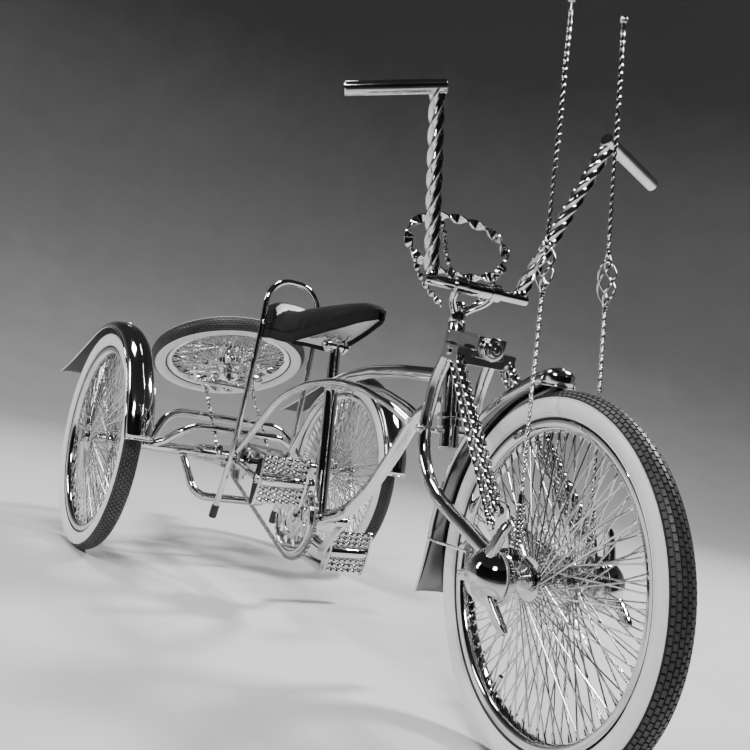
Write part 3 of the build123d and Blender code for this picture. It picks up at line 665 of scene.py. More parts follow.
# ------------------------------------------------------------------ twisted springer bars
g = Geo()
for s in (1, -1):
    for x, z, x1, z1 in ((927, 543, 1147, 330), (914, 531, 1135, 313)):
        a, b = (x, s * 46, z), (x1, s * 70, z1)
        p = straight(a, b, 1.4)
        g.add(sweep(p, lobed(8.1, 0.27, 4, 32), twist=arclen(p) / 72.0 * 2 * PI))
        for p_ in (a, b):
            g.add(ball(p_, 5.6, 16))
g.make("springer_twisted_bars", [CHROME], "fork", "chrome", replaces="springer_bars", sharp=28)

# yoke: housing on the steerer, arm, spring cup, nut, cross plate
g = Geo()
c = at(303)
g.add(revolve([(12.72, 0), (19, 0), (20, 1), (20, 35), (19, 36), (12.72, 36)], c, K, 48, closed=True))
ax = unit((1, 0, -0.16))
up = np.cross(np.array([0, 1.0, 0]), ax) * -1
zx = np.cross(ax, (0, 1, 0))
g.add(prism([(-23, -15), (23, -15), (23, 15), (-23, 15)], (836, 0, 575.5), (0, 1, 0), zx, ax, 104))
g.add(prism([(-25, -17), (25, -17), (25, 17), (-25, 17)], (936, 0, 560), (0, 1, 0), zx, ax, 8))
g.add(prism([(-26, -12.5), (26, -12.5), (26, 12.5), (-26, 12.5)], (908, -53.9, 546), (1, 0, -0.16), np.cross((0, 1, 0), (1, 0, -0.16)), (0, 1, 0), 107.8))
g.make("yoke_block", [CHROME], "fork", "chrome", replaces="springer_yoke", bevel=2.2, sharp=30)
g = Geo()
bc = np.array([943.0, 0, 559.0])
g.add(revolve([(0, 0), (19, 0), (19, 4), (17.4, 5), (17.4, 6.5), (19, 7.5), (19, 9.5), (17.5, 11.5), (14, 12), (14, 10.4), (12, 10.4), (12, 12.4), (9, 13), (0, 13)], bc, ax, 48))
g.add(hexnut(bc + ax * 11, ax, 11.6, 7.5))
g.add(revolve([(0, 0), (6, 0), (6, 1.5), (5, 2.6), (0, 2.6)], bc + ax * 18, ax, 24))
for s in (1, -1):
    g.add(hexnut((905, s * 53.9, 548), (0, s, 0), 7.0, 3.0))
g.make("yoke_spring_cap", [CHROME], "fork", "chrome", bevel=0.8, sharp=30)

# rockers: flat forged struts
g = Geo()
for s in (1, -1):
    out = [(-12, -13), (0, -16), (12, -13), (13.5, 4), (10, 34), (0, 62), (-8, 86), (-14, 93), (-30, 94), (-40, 84), (-53, 62), (-50, 52), (-38, 44), (-22, 26), (-14, 4)]
    hole = (PIVOT[0], s * 66, PIVOT[2])
    g.add(prism(out, hole, (1, 0, 0), (0, 0, 1), (0, s, 0), 5))
g.make("rocker_plates", [CHROME], "fork", "chrome", replaces="rockers", bevel=1.4, sharp=30)
g = Geo()
for s in (1, -1):
    for dx, dz in ((-26, 81), (-43, 57)):
        g.add(hexnut((PIVOT[0] + dx, s * 71, PIVOT[2] + dz), (0, s, 0), 6.5, 3.6))
    g.add(sweep(straight((PIVOT[0] - 24, s * 60, PIVOT[2] + 80), (PIVOT[0] - 24, s * 71, PIVOT[2] + 80), 20), ring(4.2, 12)))
g.make("rocker_bolts", [CHROME], "fork", "chrome", bevel=0.4)

# ------------------------------------------------------------------ spinner caps
g = Geo()
for s in (1, -1):
    t_ = np.linspace(-0.15, PI / 2, 22)
    dome = [(5.02, 71.4), (34.0, 71.4), (35.6, 72.4), (36.0, 74.4), (36.9, 75.2)] + [(38 * math.cos(t), 81 + 38 * math.sin(t)) for t in t_]
    dome[-1] = (0, 119)
    g.add(revolve([(r, s * h) for r, h in dome], PIVOT, (0, 1, 0), 72))
g.make("spinner_domes", [CHROME], "fork", "chrome", replaces="spinner_caps", sharp=40)
g = Geo()
for s in (1, -1):
    for k_ in range(3):
        t = math.radians((90 if s > 0 else 72) + 120 * k_)
        d = np.array([math.cos(t), 0, math.sin(t)])
        tn = np.array([-math.sin(t), 0, math.cos(t)])
        V, F = [], []
        m = 12
        for i in range(m):
            q = i / (m - 1)
            r = 22 + 55.5 * q
            w = (9.0 - 3.2 * q) * (1.0 if i < m - 1 else 0.72)
            h0 = 97 - 9.5 * q
            th_ = (7.4 - 2.2 * q) * (1.0 if i < m - 1 else 0.6)
            cen = PIVOT + d * r + np.array([0, s * (h0 + 2 * math.sin(PI * q)), 0])
            for a in np.linspace(0, 2 * PI, 16, endpoint=False):
                ca_, sa_ = math.cos(a), math.sin(a)
                e = 0.45
                V.append(cen + tn * w * math.copysign(abs(ca_) ** e, ca_) + np.array([0, th_ * math.copysign(abs(sa_) ** e, sa_), 0]))
        for i in range(m - 1):
            for a in range(16):
                b_ = (a + 1) % 16
                F.append((i * 16 + a, i * 16 + b_, (i + 1) * 16 + b_, (i + 1) * 16 + a))
        F.append(tuple(range(16))[::-1])
        F.append(tuple((m - 1) * 16 + a for a in range(16)))
        g.add((np.array(V), F))
g.make("spinner_prongs", [CHROME], "fork", "chrome", sharp=40)

# axle spacers
g = Geo()
for s in (1, -1):
    g.add(sweep(straight(PIVOT + [0, s * 33.5, 0], PIVOT + [0, s * 84, 0], 100), ring(4.9, 20)))
    g.add(revolve([(4.95, 0), (15.4, 0), (16, 0.7), (16, 2.4), (14.2, 3), (14.2, 4.8), (12.4, 5.4), (12.4, 7.2), (10.6, 7.8), (10.6, 9.6), (9.2, 10.2), (9.2, 11), (8.6, 11.8), (4.95, 11.8)], PIVOT + np.array([0, s * 35.4, 0]), (0, s, 0), 32, closed=True))
    g.add(hexnut(PIVOT + np.array([0, s * 54.9, 0]), (0, s, 0), 10.4, 9.5))
    g.add(disc_solid(PIVOT + np.array([0, s * 64.4, 0]), (0, s, 0), 11, 1.5, 32))
g.make("front_axle_nuts", [CHROME], "fork", "chrome", bevel=0.5)

# ------------------------------------------------------------------ handlebar
g = Geo()
for s in (1, -1):
    p = straight((862, s * 84, 664), (944, s * 163, 934), 2.0)
    g.add(sweep(p, lobed(13.2, 0.2, 4, 40), twist=arclen(p) / 132.0 * 2 * PI, up=np.array([1.0, 0, 0])))
g.make("upright_twisted_bars", [CHROME], "fork", "chrome", replaces="bar_uprights", sharp=28)
g = Geo()
for s in (1, -1):
    a, b = np.array([950.0, s * 150, 937]), np.array([905.0, s * 296, 903])
    d = unit(b - a)
    L = np.linalg.norm(b - a)
    g.add(revolve([(0, 0), (9.8, 0), (11.1, 1.6), (11.1, L - 1.6), (9.6, L), (8.0, L), (8.0, L - 14), (0, L - 14)], a, d, 32))
g.make("bar_ends", [CHROME], "fork", "chrome", replaces="grips", sharp=35)
g = Geo()
g.add(revolve([(0, -98), (8.2, -98), (9, -97), (9, 97), (8.2, 98), (0, 98)], (868, 0, 659), (0, 1, 0), 32))
g.add(revolve([(9.0, -44), (11.6, -44), (12, -43), (12, -2.5), (10.6, -1.4), (10.6, 1.4), (12, 2.5), (12, 43), (11.6, 44), (9.0, 44)], (868, 0, 659), (0, 1, 0), 40))
for s in (1, -1):
    g.add(ball((864, s * 85, 667), 12.2, 24))
g.make("crossbar_tube", [CHROME], "fork", "chrome", replaces="crossbar", sharp=35)

# stem: sleeve, split Y arms, pinch bolt
g = Geo()
c = at(340)
g.add(revolve([(12.72, 0), (14, 0), (15, 1), (15, 16), (14, 17.5), (15, 19), (15, 47), (12, 52), (6, 54), (0, 54)], c, K, 40))
for s in (1, -1):
    a0 = np.array([at(372)[0] + 2, s * 6.0, at(372)[2]])
    p = bezier(a0, a0 + np.array([8, s * 10, 18]), np.array([846, s * 36.0, 636]), np.array([863, s * 34.0, 655]), 16)
    g.add(sweep(p, ring(6.4, 18), scale=np.linspace(1.15, 1.0, 16)))
    g.add(disc_solid((868, s * 34 - 9, 660), (0, 1, 0), 14.5, 18, 40))
g.add(hexnut(at(360) + np.array([-15.5, 0, 0]), (-1, 0, 0), 6, 4))
g.make("stem_arms", [CHROME], "fork", "chrome", replaces="stem", sharp=35)

# ring ornament: twisted flat bar bent to an oval, tails to the stem, an inner scroll
c = at(498)
fc = np.array([c[0] - 14, 0, c[2] - 2.5])
fx, fy = np.array([0, 1.0, 0]), np.cross(np.array([CH, 0, SH]), np.array([0, 1.0, 0]))
if fy[2] < 0:
    fy = -fy


def inface(u, v):
    return fc + fx * u + fy * v


def twisted_path(pts, a, b, pitch, step=1.8, closed=False):
    p = resample(np.array(pts), step, closed)
    s = arclen(np.vstack([p, p[:1]]) if closed else p)
    if closed:
        turns = max(1, round(s[-1] / pitch * 2) / 2)
        tw = s[:-1] / s[-1] * turns * 2 * PI
    else:
        tw = s / pitch * 2 * PI
    return sweep(p, square(a, b), twist=tw, closed=closed, up=np.array([CH, 0, SH]))


oval = [inface(98 * math.copysign(abs(math.cos(t)) ** 0.86, math.cos(t)), 52 * math.copysign(abs(math.sin(t)) ** 0.9, math.sin(t))) for t in np.linspace(0, 2 * PI, 72, endpoint=False)]
g = Geo()
g.add(twisted_path(oval, 16, 4.5, 75.0, closed=True))
for s in (1, -1):
    p = bezier(inface(s * 86, -26), inface(s * 78, -62), inface(s * 58, -88), inface(s * 24, -112), 20)
    g.add(twisted_path(p, 10, 3.4, 34.0))
p = bezier(inface(-40, 47), inface(-22, 20), inface(-30, -20), inface(-6, -50), 20)
g.add(twisted_path(p, 9, 3.2, 34.0))
g.make("ring_twisted_bar", [CHROME], "fork", "chrome", replaces="ring_ornament", sharp=28)

# ------------------------------------------------------------------ antennas: twisted rods, coil springs, bird cages, ball tips
g, g2 = Geo(), Geo()
for s in (1, -1):
    a, b = np.array([1182.0, s * 58, 268]), np.array([1093.0, s * 46, 1052])
    d = b - a
    L = np.linalg.norm(d)
    u = unit(d)
    ref = unit(np.cross(u, (0, 1, 0)))
    w = np.cross(u, ref)

    def Q(f):
        return a + d * f

    # rod runs, twisted
    for f0, f1 in ((0.11, 0.456), (0.556, 0.985)):
        p = straight(Q(f0), Q(f1), 1.2)
        g.add(sweep(p, lobed(3.3, 0.24, 2, 14), twist=arclen(p) / 24.0 * 2 * PI))
    # base post and coil
    g.add(sweep(straight(Q(0.0), Q(0.03), 50), ring(5, 16)))
    g.add(hexnut(Q(0.012), u, 8, 7))
    turns, rad = 11, 6.6
    t = np.linspace(0, 1, turns * 14)
    hel = np.array([Q(0.028 + (0.105 - 0.028) * q) + ref * rad * math.cos(q * turns * 2 * PI) + w * rad * math.sin(q * turns * 2 * PI) for q in t])
    g2.add(sweep(hel, ring(1.45, 8)))
    g.add(sweep(straight(Q(0.10), Q(0.118), 50), ring(5.2, 16)))
    g.add(sweep(straight(Q(0.03), Q(0.10), 60), ring(2.4, 10)))
    # cage of four bowed wires
    f0, f1 = 0.463, 0.549
    for k_ in range(4):
        pts = []
        for q in np.linspace(0, 1, 26):
            r = 2.0 + 11.2 * math.sin(PI * q) ** 0.85
            an = k_ * PI / 2 + q * PI * 1.1
            pts.append(Q(f0 + (f1 - f0) * q) + ref * r * math.cos(an) + w * r * math.sin(an))
        g2.add(sweep(np.array(pts), ring(1.5, 8)))
    for f in (f0, f1):
        g.add(ball(Q(f), 4.6, 16))
        g.add(sweep(straight(Q(f - 0.008), Q(f + 0.008), 50), ring(3.6, 12)))
    g.add(ball(b, 5.8, 20))
    g.add(sweep(straight(Q(0.978), Q(0.993), 20), ring(3.4, 12)))
g.make("antenna_rods", [CHROME], "fork", "chrome", replaces="antennas", sharp=30)
g2.make("antenna_coils", [CHROME], "fork", "chrome", sharp=60)


# ------------------------------------------------------------------ chains
def tangent_loop(c0, r0, c1, r1, n_arc=60):
    dx, dz = c1[0] - c0[0], c1[1] - c0[1]
    d = math.hypot(dx, dz)
    base, op = math.atan2(dz, dx), math.acos((r0 - r1) / d)
    pts = []
    for t in np.linspace(base + op, base + 2 * PI - op, n_arc):
        pts.append((c0[0] + r0 * math.cos(t), c0[1] + r0 * math.sin(t)))
    for t in np.linspace(base - op, base + op, n_arc):
        pts.append((c1[0] + r1 * math.cos(t), c1[1] + r1 * math.sin(t)))
    return pts


def chain(name, y, c0, r0, c1, r1, replaces):
    loop = np.array([(x, y, z) for x, z in tangent_loop(c0, r0, c1, r1)])
    P = np.vstack([loop, loop[:1]])
    s = arclen(P)
    n = int(round(s[-1] / 12.7 / 2) * 2)
    t = np.linspace(0, s[-1], n + 1)[:-1]
    J = np.stack([np.interp(t, s, P[:, i]) for i in range(3)], 1)
    g = Geo()
    for i in range(n):
        a, b = J[i], J[(i + 1) % n]
        d = unit(b - a)
        nrm = np.cross(d, (0, 1, 0))
        L = np.linalg.norm(b - a)
        off = 2.9 if i % 2 else 2.0
        o = []
        for an in np.linspace(PI / 2, 3 * PI / 2, 5):
            o.append((3.7 * math.cos(an), 3.7 * math.sin(an)))
        o.append((L / 2, -2.5))
        for an in np.linspace(-PI / 2, PI / 2, 5):
            o.append((L + 3.7 * math.cos(an), 3.7 * math.sin(an)))
        o.append((L / 2, 2.5))
        for s_ in (1, -1):
            g.add(prism(o, a + np.array([0, s_ * off - 0.4, 0]), d, nrm, (0, 1, 0), 0.8))
        g.add(sweep(straight(a + [0, -1.9, 0], a + [0, 1.9, 0], 10), ring(3.2, 8)))
        g.add(sweep(straight(a + [0, -3.5, 0], a + [0, 3.5, 0], 10), ring(1.5, 6)))
    return g.make(name, [STEEL], "frame", "chain_steel", replaces=replaces, sharp=30)


chain("drive_chain_links", -48, (172, 258), 44.5, (476, 191), 80.9, "drive_chain")
chain("axle_chain_links", 48, (0, 252), 36.4, (172, 258), 36.4, "axle_chain")


def toothed(c, r_pitch, teeth, y0, t, holes=(), n_body=0):
    """outline of a sprocket in the x, z plane"""
    out = []
    for i in range(teeth):
        a = 2 * PI * i / teeth
        for f, r in ((0.0, r_pitch + 2.6), (0.12, r_pitch + 2.2), (0.26, r_pitch - 1.5), (0.42, r_pitch - 4.0), (0.58, r_pitch - 4.0), (0.74, r_pitch - 1.5), (0.88, r_pitch + 2.2)):
            t_ = a + f * 2 * PI / teeth
            out.append((r * math.cos(t_), r * math.sin(t_)))
    return out


def plate_with_holes(name, c, outline, holes, y0, t, body, replaces=(), bore=10.1, extra=None):
    """flat plate cut with round and shaped holes, made by filling curves"""
    cu = bpy.data.curves.new(name + "_c", "CURVE")
    cu.dimensions = "2D"
    cu.fill_mode = "BOTH"
    for loop in [outline] + list(holes):
        sp = cu.splines.new("POLY")
        sp.points.add(len(loop) - 1)
        for p_, (x, z) in zip(sp.points, loop):
            p_.co = (x / 1000, z / 1000, 0, 1)
        sp.use_cyclic_u = True
    cu.extrude = t / 2000.0
    cu.bevel_depth = 0.0004
    cu.bevel_resolution = 1
    ob = bpy.data.objects.new(name + "_c", cu)
    bpy.context.scene.collection.objects.link(ob)
    bpy.context.view_layer.update()
    me = bpy.data.meshes.new_from_object(ob.evaluated_get(bpy.context.evaluated_depsgraph_get()))
    bpy.data.objects.remove(ob)
    bpy.data.curves.remove(cu)
    # local x, y, z -> x, z, -y
    M = Matrix(((1, 0, 0, (c[0] - X_MID) / 1000), (0, 0, -1, (y0 + t / 2) / 1000), (0, 1, 0, c[1] / 1000), (0, 0, 0, 1)))
    me.transform(M)
    me.materials.clear()
    me.materials.append(CHROME)
    me.polygons.foreach_set("use_smooth", [True] * len(me.polygons))
    me.set_sharp_from_angle(angle=math.radians(30))
    o2 = bpy.data.objects.new(name, me)
    bpy.context.scene.collection.objects.link(o2)
    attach(o2, body)
    if replaces:
        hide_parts(replaces)
    return o2


def circle(cx, cy, r, n=32):
    return [(cx + r * math.cos(2 * PI * i / n), cy + r * math.sin(2 * PI * i / n)) for i in range(n)]


# toothed ring, and a dished plate with round holes inside it
plate_with_holes("chainring_plate", (476, 191), toothed(None, 80.9, 40, 0, 0), [circle(0, 0, 66, 72)], -49.5, 3.0, "crank", "chainring")
plate_with_holes("chainring_web", (476, 191), circle(0, 0, 67, 72), [circle(50 * math.cos(2 * PI * i / 10), 50 * math.sin(2 * PI * i / 10), 8.5, 24) for i in range(10)] + [circle(0, 0, 10.3)], -52.6, 3.0, "crank")
g = Geo()
for rr, h, q in ((67.5, -52.0, 3.4), (33.0, -53.0, 2.2)):
    g.add(revolve([(rr + q * math.cos(a), h + q * math.sin(a)) for a in np.linspace(0, 2 * PI, 12, endpoint=False)], (476, 0, 191), (0, 1, 0), 96, closed=True))
for i in range(5):
    a = 2 * PI * (i + 0.5) / 5
    g.add(hexnut((476 + 58 * math.cos(a), -53.5, 191 + 58 * math.sin(a)), (0, -1, 0), 4.6, 3))
g.make("chainring_rims", [CHROME], "crank", "chrome", sharp=40)
plate_with_holes("jack_sprocket", (172, 258), toothed(None, 44.5, 22, 0, 0), [circle(0, 0, 14.2)], -49.5, 3.0, "jackshaft")
plate_with_holes("jack_sprocket_left", (172, 258), toothed(None, 36.4, 18, 0, 0), [circle(0, 0, 14.2)], 46.5, 3.0, "jackshaft")
plate_with_holes("axle_sprocket", (0, 252), toothed(None, 36.4, 18, 0, 0), [circle(0, 0, 8.3)], 46.5, 3.0, "rear_axle")


# ------------------------------------------------------------------ pedals: cages of twisted bars
ca, sa = math.cos(math.radians(50)), math.sin(math.radians(50))
g = Geo()
g.add(revolve([(0, -44), (9.2, -44), (10, -43), (10, 70), (9, 71), (0, 71)], (476, 0, 191), (0, 1, 0), 40))
# right arm: bent out of the axle in one piece
e_ = np.array([476 + 98 * ca, -66, 191 + 98 * sa])
p = np.vstack([bezier(np.array([476.0, -40, 191]), np.array([476.0, -60, 191]), np.array([476 + 4 * ca, -67, 191 + 4 * sa]), np.array([476 + 24 * ca, -66.5, 191 + 24 * sa]), 12), [e_]])
p = resample(p, 3.0)
g.add(sweep(p, ring(9.0, 20), scale=[(1.0, 1.0 - 0.28 * min(1, i / 14)) for i in range(len(p))]))
g.add(disc_solid(e_ + np.array([0, 5.5, 0]), (0, -1, 0), 13.5, 11, 40, 1.6))
# left arm: flat forged bar
e2 = np.array([476 - 98 * ca, 62, 191 - 98 * sa])
o = [(11 * math.cos(a), 11 * math.sin(a)) for a in np.linspace(PI / 2, 3 * PI / 2, 10)] + [(30, -9), (70, -7.5)] + [(98 + 11 * math.cos(a), 11 * math.sin(a)) for a in np.linspace(-PI / 2, PI / 2, 10)] + [(70, 7.5), (30, 9)]
g.add(prism(o, (476, 62, 191), (-ca, 0, -sa), (sa, 0, -ca), (0, 1, 0), 8))
g.add(hexnut((476, 70, 191), (0, 1, 0), 12, 6))
g.add(hexnut((476, -71, 191), (0, -1, 0), 9, 3))
for q, s in ((e_, -1), (e2, 1)):
    g.add(sweep(straight((q[0], s * 70, q[2]), (q[0], s * 186, q[2]), 200), ring(4.95, 20)))
    g.add(hexnut((q[0], s * 71.2, q[2]), (0, s, 0), 7.2, 3.4))
g.make("crank_arms", [CHROME], "crank", "chrome", replaces="crank", bevel=0.8, sharp=35)
for nm, s, px, pz in (("right", -1, 476 + 98 * ca, 191 + 98 * sa), ("left", 1, 476 - 98 * ca, 191 - 98 * sa)):
    c = np.array([px, s * 76.0, pz])
    tilt = math.radians(82)
    u = np.array([math.cos(tilt), 0, math.sin(tilt)])     # along the cage, upright as parked
    w = np.array([-math.sin(tilt), 0, math.cos(tilt)])
    yy = np.array([0, s * 1.0, 0])
    g = Geo()
    # barrel
    g.add(revolve([(5.06, 0), (8.4, 0), (9, 0.8), (9, 8), (11.5, 10), (12.4, 14), (12.4, 94), (11.5, 98), (9, 100), (9, 107.2), (8.4, 108), (5.06, 108)], c, yy, 32, closed=True))
    g.add(revolve([(0, 113), (7, 113), (8.4, 110), (8.8, 108), (5.2, 108)], c, yy, 28) if False else disc_solid(c + yy * 104, yy, 8.6, 3.8, 28))
    # end plates
    for y0 in (2.0, 100.5):
        o = []
        for an in np.linspace(-PI / 2, PI / 2, 9):
            o.append((42 + 8.5 * math.cos(an), 8.5 * math.sin(an)))
        o.append((10, 12))
        o.append((-10, 12))
        for an in np.linspace(PI / 2, 3 * PI / 2, 9):
            o.append((-42 + 8.5 * math.cos(an), 8.5 * math.sin(an)))
        o.append((-10, -12))
        o.append((10, -12))
        g.add(prism(o, c + yy * y0, u, w, yy, 4.5))
    g.make("pedal_%s_frame" % nm, [CHROME], "pedal_" + nm, "chrome", replaces="pedal_" + nm, bevel=0.6, sharp=32)
    g = Geo()
    for k_ in (-41, -30, -19, 19, 30, 41):
        a = c + u * k_ + yy * 5
        b = c + u * k_ + yy * 102
        p = straight(a, b, 1.5)
        sl = arclen(p)
        g.add(sweep(p, lobed(6.8, 0.12, 4, 24), twist=sl / 58.0 * 2 * PI, scale=0.58 + 0.42 * np.abs(np.sin(sl / 14.5 * PI)) ** 0.6, up=np.array([1.0, 0, 0])))
    g.make("pedal_%s_bars" % nm, [CHROME], "pedal_" + nm, "chrome", sharp=28)

# ------------------------------------------------------------------ spare wheel carrier
nrm = np.array([0.4512, 0, -0.8924])
hub_mid = np.array([-120.0, 0, 498])
g = Geo()
for s in (1, -1):
    a, b = np.array([96.0, s * 71.5, 262]), np.array([-86.0, s * 66, 424])
    p = straight(a, b, 2.0)
    sl = arclen(p)
    L = sl[-1]
    # flat bar with three long twisted bulges
    width = 6.5 + 4.5 * np.abs(np.sin(sl / L * PI * 5)) ** 1.5
    g.add(sweep(p, square(1.0, 0.42, 0.1), twist=sl / 58.0 * 2 * PI, scale=width))
    g.add(dome_nut((96, s * 66.8, 262), (0, s, 0), 9.5, 9.5))
    g.add(ball(b, 9.0))
# shelf under the hub
sh0, sh1 = np.array([-86.0, 0, 424.0]), hub_mid + nrm * 55
for s in (1, -1):
    p = bezier(np.array([-86.0, s * 66, 424]), np.array([-70, s * 62, 440]), np.array([-70, s * 40, 458]), hub_mid + nrm * 54 + np.array([0, s * 10, 0]), 60)
    g.add(twisted_path(p, 11, 3.4, 60.0))
    p = bezier(np.array([-86.0, s * 66, 424]), np.array([-120, s * 60, 416]), np.array([-124, s * 30, 430]), hub_mid + nrm * 56 + np.array([-14, s * 8, 0]), 60)
    g.add(twisted_path(p, 10, 3.2, 52.0))
g.add(sweep(straight((-86, -66, 424), (-86, 66, 424), 200), ring(6.5, 20)))
g.add(disc_solid(hub_mid + nrm * 52, nrm, 26, 5, 48))
g.make("spare_carrier_bars", [CHROME], "frame", "chrome", replaces="spare_carrier", sharp=30)
g = Geo()
g.add(sweep(straight(hub_mid - nrm * 46, hub_mid + nrm * 70, 200), ring(4.9, 20)))
g.add(hexnut(hub_mid + nrm * 57, nrm, 10, 9))
g.add(hexnut(hub_mid - nrm * 30.4, -nrm, 10, 8))
g.add(revolve([(4.95, 30.4), (9, 30.4), (9, 51), (4.95, 51)], hub_mid, nrm, 28, closed=True))
g.make("spare_axle_nuts", [CHROME], "frame", "chrome", replaces="spare_axle", bevel=0.5)


# ------------------------------------------------------------------ seat
def seat_station(x):
    """(half width, bottom z, top z) of the cushion at x"""
    xs_ = [112, 122, 140, 165, 187, 200, 215, 240, 290, 330, 370, 410, 450, 490, 530, 556, 574, 582]
    w = [36, 46, 51, 53, 54, 54, 54.5, 55, 58, 60, 59, 54, 47, 38.5, 29.5, 23, 15, 10]
    lo = [585, 570, 562, 559, 559, 559, 558, 555, 551, 553, 561, 570, 581, 591, 603, 609, 613, 616]
    hi = [616, 632, 640, 643, 642, 636, 621, 616, 617, 622, 625, 629, 633, 638, 642, 639, 632, 627]
    return [float(np.interp(x, xs_, a)) for a in (w, lo, hi)]


def seat_cushion():
    xs_ = np.linspace(114, 579, 54)
    k = 28
    V, F = [], []
    for i, x in enumerate(xs_):
        w, lo, hi = seat_station(x)
        f = 1.0
        zc, hh = 0.5 * (lo + hi), 0.5 * (hi - lo)
        for j in range(k):
            a = 2 * PI * j / k
            cx, cz = math.cos(a), math.sin(a)
            e = 0.55
            yv = (w - 4) * f * math.copysign(abs(cx) ** e, cx)
            zv = zc + (hh - 3) * f * math.copysign(abs(cz) ** (0.62 if cz > 0 else 0.35), cz)
            V.append((x, yv, zv))
    n = len(xs_)
    for i in range(n - 1):
        for j in range(k):
            r = (j + 1) % k
            F.append((i * k + j, i * k + r, (i + 1) * k + r, (i + 1) * k + j))
    F.append(tuple(range(k)))
    F.append(tuple((n - 1) * k + j for j in range(k))[::-1])
    v = (np.array(V) - np.array([X_MID, 0, 0])) / 1000.0
    me = bpy.data.meshes.new("seat_cushion")
    me.from_pydata([tuple(p) for p in v], [], F)
    bm = bmesh.new()
    bm.from_mesh(me)
    bmesh.ops.recalc_face_normals(bm, faces=bm.faces)
    bm.to_mesh(me)
    bm.free()
    ob = bpy.data.objects.new("seat_cushion", me)
    bpy.context.scene.collection.objects.link(ob)
    rm = ob.modifiers.new("remesh", "REMESH")
    rm.mode = "VOXEL"
    rm.voxel_size = 0.0055
    rm.use_smooth_shade = True
    dg = bpy.context.evaluated_depsgraph_get()
    ob.data = bpy.data.meshes.new_from_object(ob.evaluated_get(dg))
    ob.modifiers.clear()
    rest = np.zeros(len(ob.data.vertices) * 3)
    ob.data.vertices.foreach_get("co", rest)
    rest = rest.reshape(-1, 3)
    # pinned along the lower rim, where the cover is stapled to the pan
    vg = ob.vertex_groups.new(name="pin")
    for i, co in enumerate(rest):
        x = co[0] * 1000 + X_MID
        w, lo, hi = seat_station(x)
        if co[2] * 1000 < lo + 9:
            vg.add([i], 1.0, "REPLACE")
    cl = ob.modifiers.new("cloth", "CLOTH")
    st = cl.settings
    st.quality = 5
    st.mass = 0.3
    st.tension_stiffness = st.compression_stiffness = 18
    st.shear_stiffness = 12
    st.bending_stiffness = 1.2
    st.use_pressure = True
    st.uniform_pressure_force = 4.0
    st.effector_weights.gravity = 0.0
    st.vertex_group_mass = "pin"
    cl.collision_settings.use_collision = False
    cl.point_cache.frame_start, cl.point_cache.frame_end = 1, 20
    sc = bpy.context.scene
    for f_ in range(1, 21):
        sc.frame_set(f_)
    dg = bpy.context.evaluated_depsgraph_get()
    done = bpy.data.meshes.new_from_object(ob.evaluated_get(dg))
    co = np.zeros(len(done.vertices) * 3)
    done.vertices.foreach_get("co", co)
    co = co.reshape(-1, 3)
    mv = co - rest
    ln = np.linalg.norm(mv, axis=1)
    cap = 0.006
    mv *= np.minimum(1.0, cap / np.maximum(ln, 1e-9))[:, None]
    co = rest + mv
    done.vertices.foreach_set("co", co.ravel())
    ob.modifiers.clear()
    ob.data = done
    sc.frame_set(1)
    me = ob.data
    me.materials.clear()
    me.materials.append(VELOUR)
    me.materials.append(VELOUR_WHITE)
    # the panel over the kicked-up rear is white
    idx = []
    for p in me.polygons:
        x = p.center[0] * 1000 + X_MID
        y = p.center[1] * 1000
        w, lo, hi = seat_station(x)
        top = p.normal[2] > 0.25 and p.center[2] * 1000 > hi - 22
        idx.append(1 if (194 < x < 219 and abs(y) < 45 and p.normal[2] > 0.05 and p.center[2] * 1000 > 606) else 0)
    me.polygons.foreach_set("material_index", idx)
    me.polygons.foreach_set("use_smooth", [True] * len(me.polygons))
    s2 = ob.modifiers.new("sub", "SUBSURF")
    s2.levels = s2.render_levels = 1
    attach(ob, "frame")
    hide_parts("seat")
    return ob


seat = seat_cushion()

# skirt of the cover that hangs below the pan, and the pan
def outline(off=0.0, n_side=40):
    pts = []
    xs_ = np.linspace(116, 577, n_side)
    for x in xs_:
        w, lo, hi = seat_station(x)
        f = 1.0
        pts.append((x, (w - 3.2 - off) * f, lo))
    right = [(x, -y, z) for x, y, z in pts]
    return pts + right[::-1]


o_ = outline()
g = Geo()
nv = len(o_)
V, F = [], []
for i, (x, y, z) in enumerate(o_):
    for dz, inn in ((12, 0.0), (2, 0.6), (-4, 0.4), (-8.5, 1.6), (-8.5, 3.2), (-4, 4.0), (12, 4.2)):
        f = 1 - inn / max(8.0, abs(y))
        V.append((x, y * f, z + dz))
k = 7
for i in range(nv):
    j = (i + 1) % nv
    for q in range(k - 1):
        F.append((i * k + q, i * k + q + 1, j * k + q + 1, j * k + q))
g.add((np.array(V), F))
g.make("seat_skirt", [VELOUR], "frame", "seat_cover", sharp=80)
g = Geo()
pan = outline(6.0)
top_ = [(x, y, z + 5) for x, y, z in pan]
V = top_ + [(x, y, z + 1.5) for x, y, z in pan]
m = len(pan)
h = m // 2
F = []
for lvl in (0, m):
    for i in range(h - 1):
        F.append((lvl + i, lvl + i + 1, lvl + m - 2 - i, lvl + m - 1 - i))
for i in range(m):
    j = (i + 1) % m
    F.append((i, j, m + j, m + i))
g.add((np.array(V), F))
g.make("seat_pan", [PAN], "frame", "chrome", sharp=40)

# ------------------------------------------------------------------ bent tubes
def ax_x(z):
    return 879.5 - (z - 252.7) * SH / CH


def mirrored_path(p):
    return np.vstack([p, p[-2::-1] * np.array([1, -1, 1])])


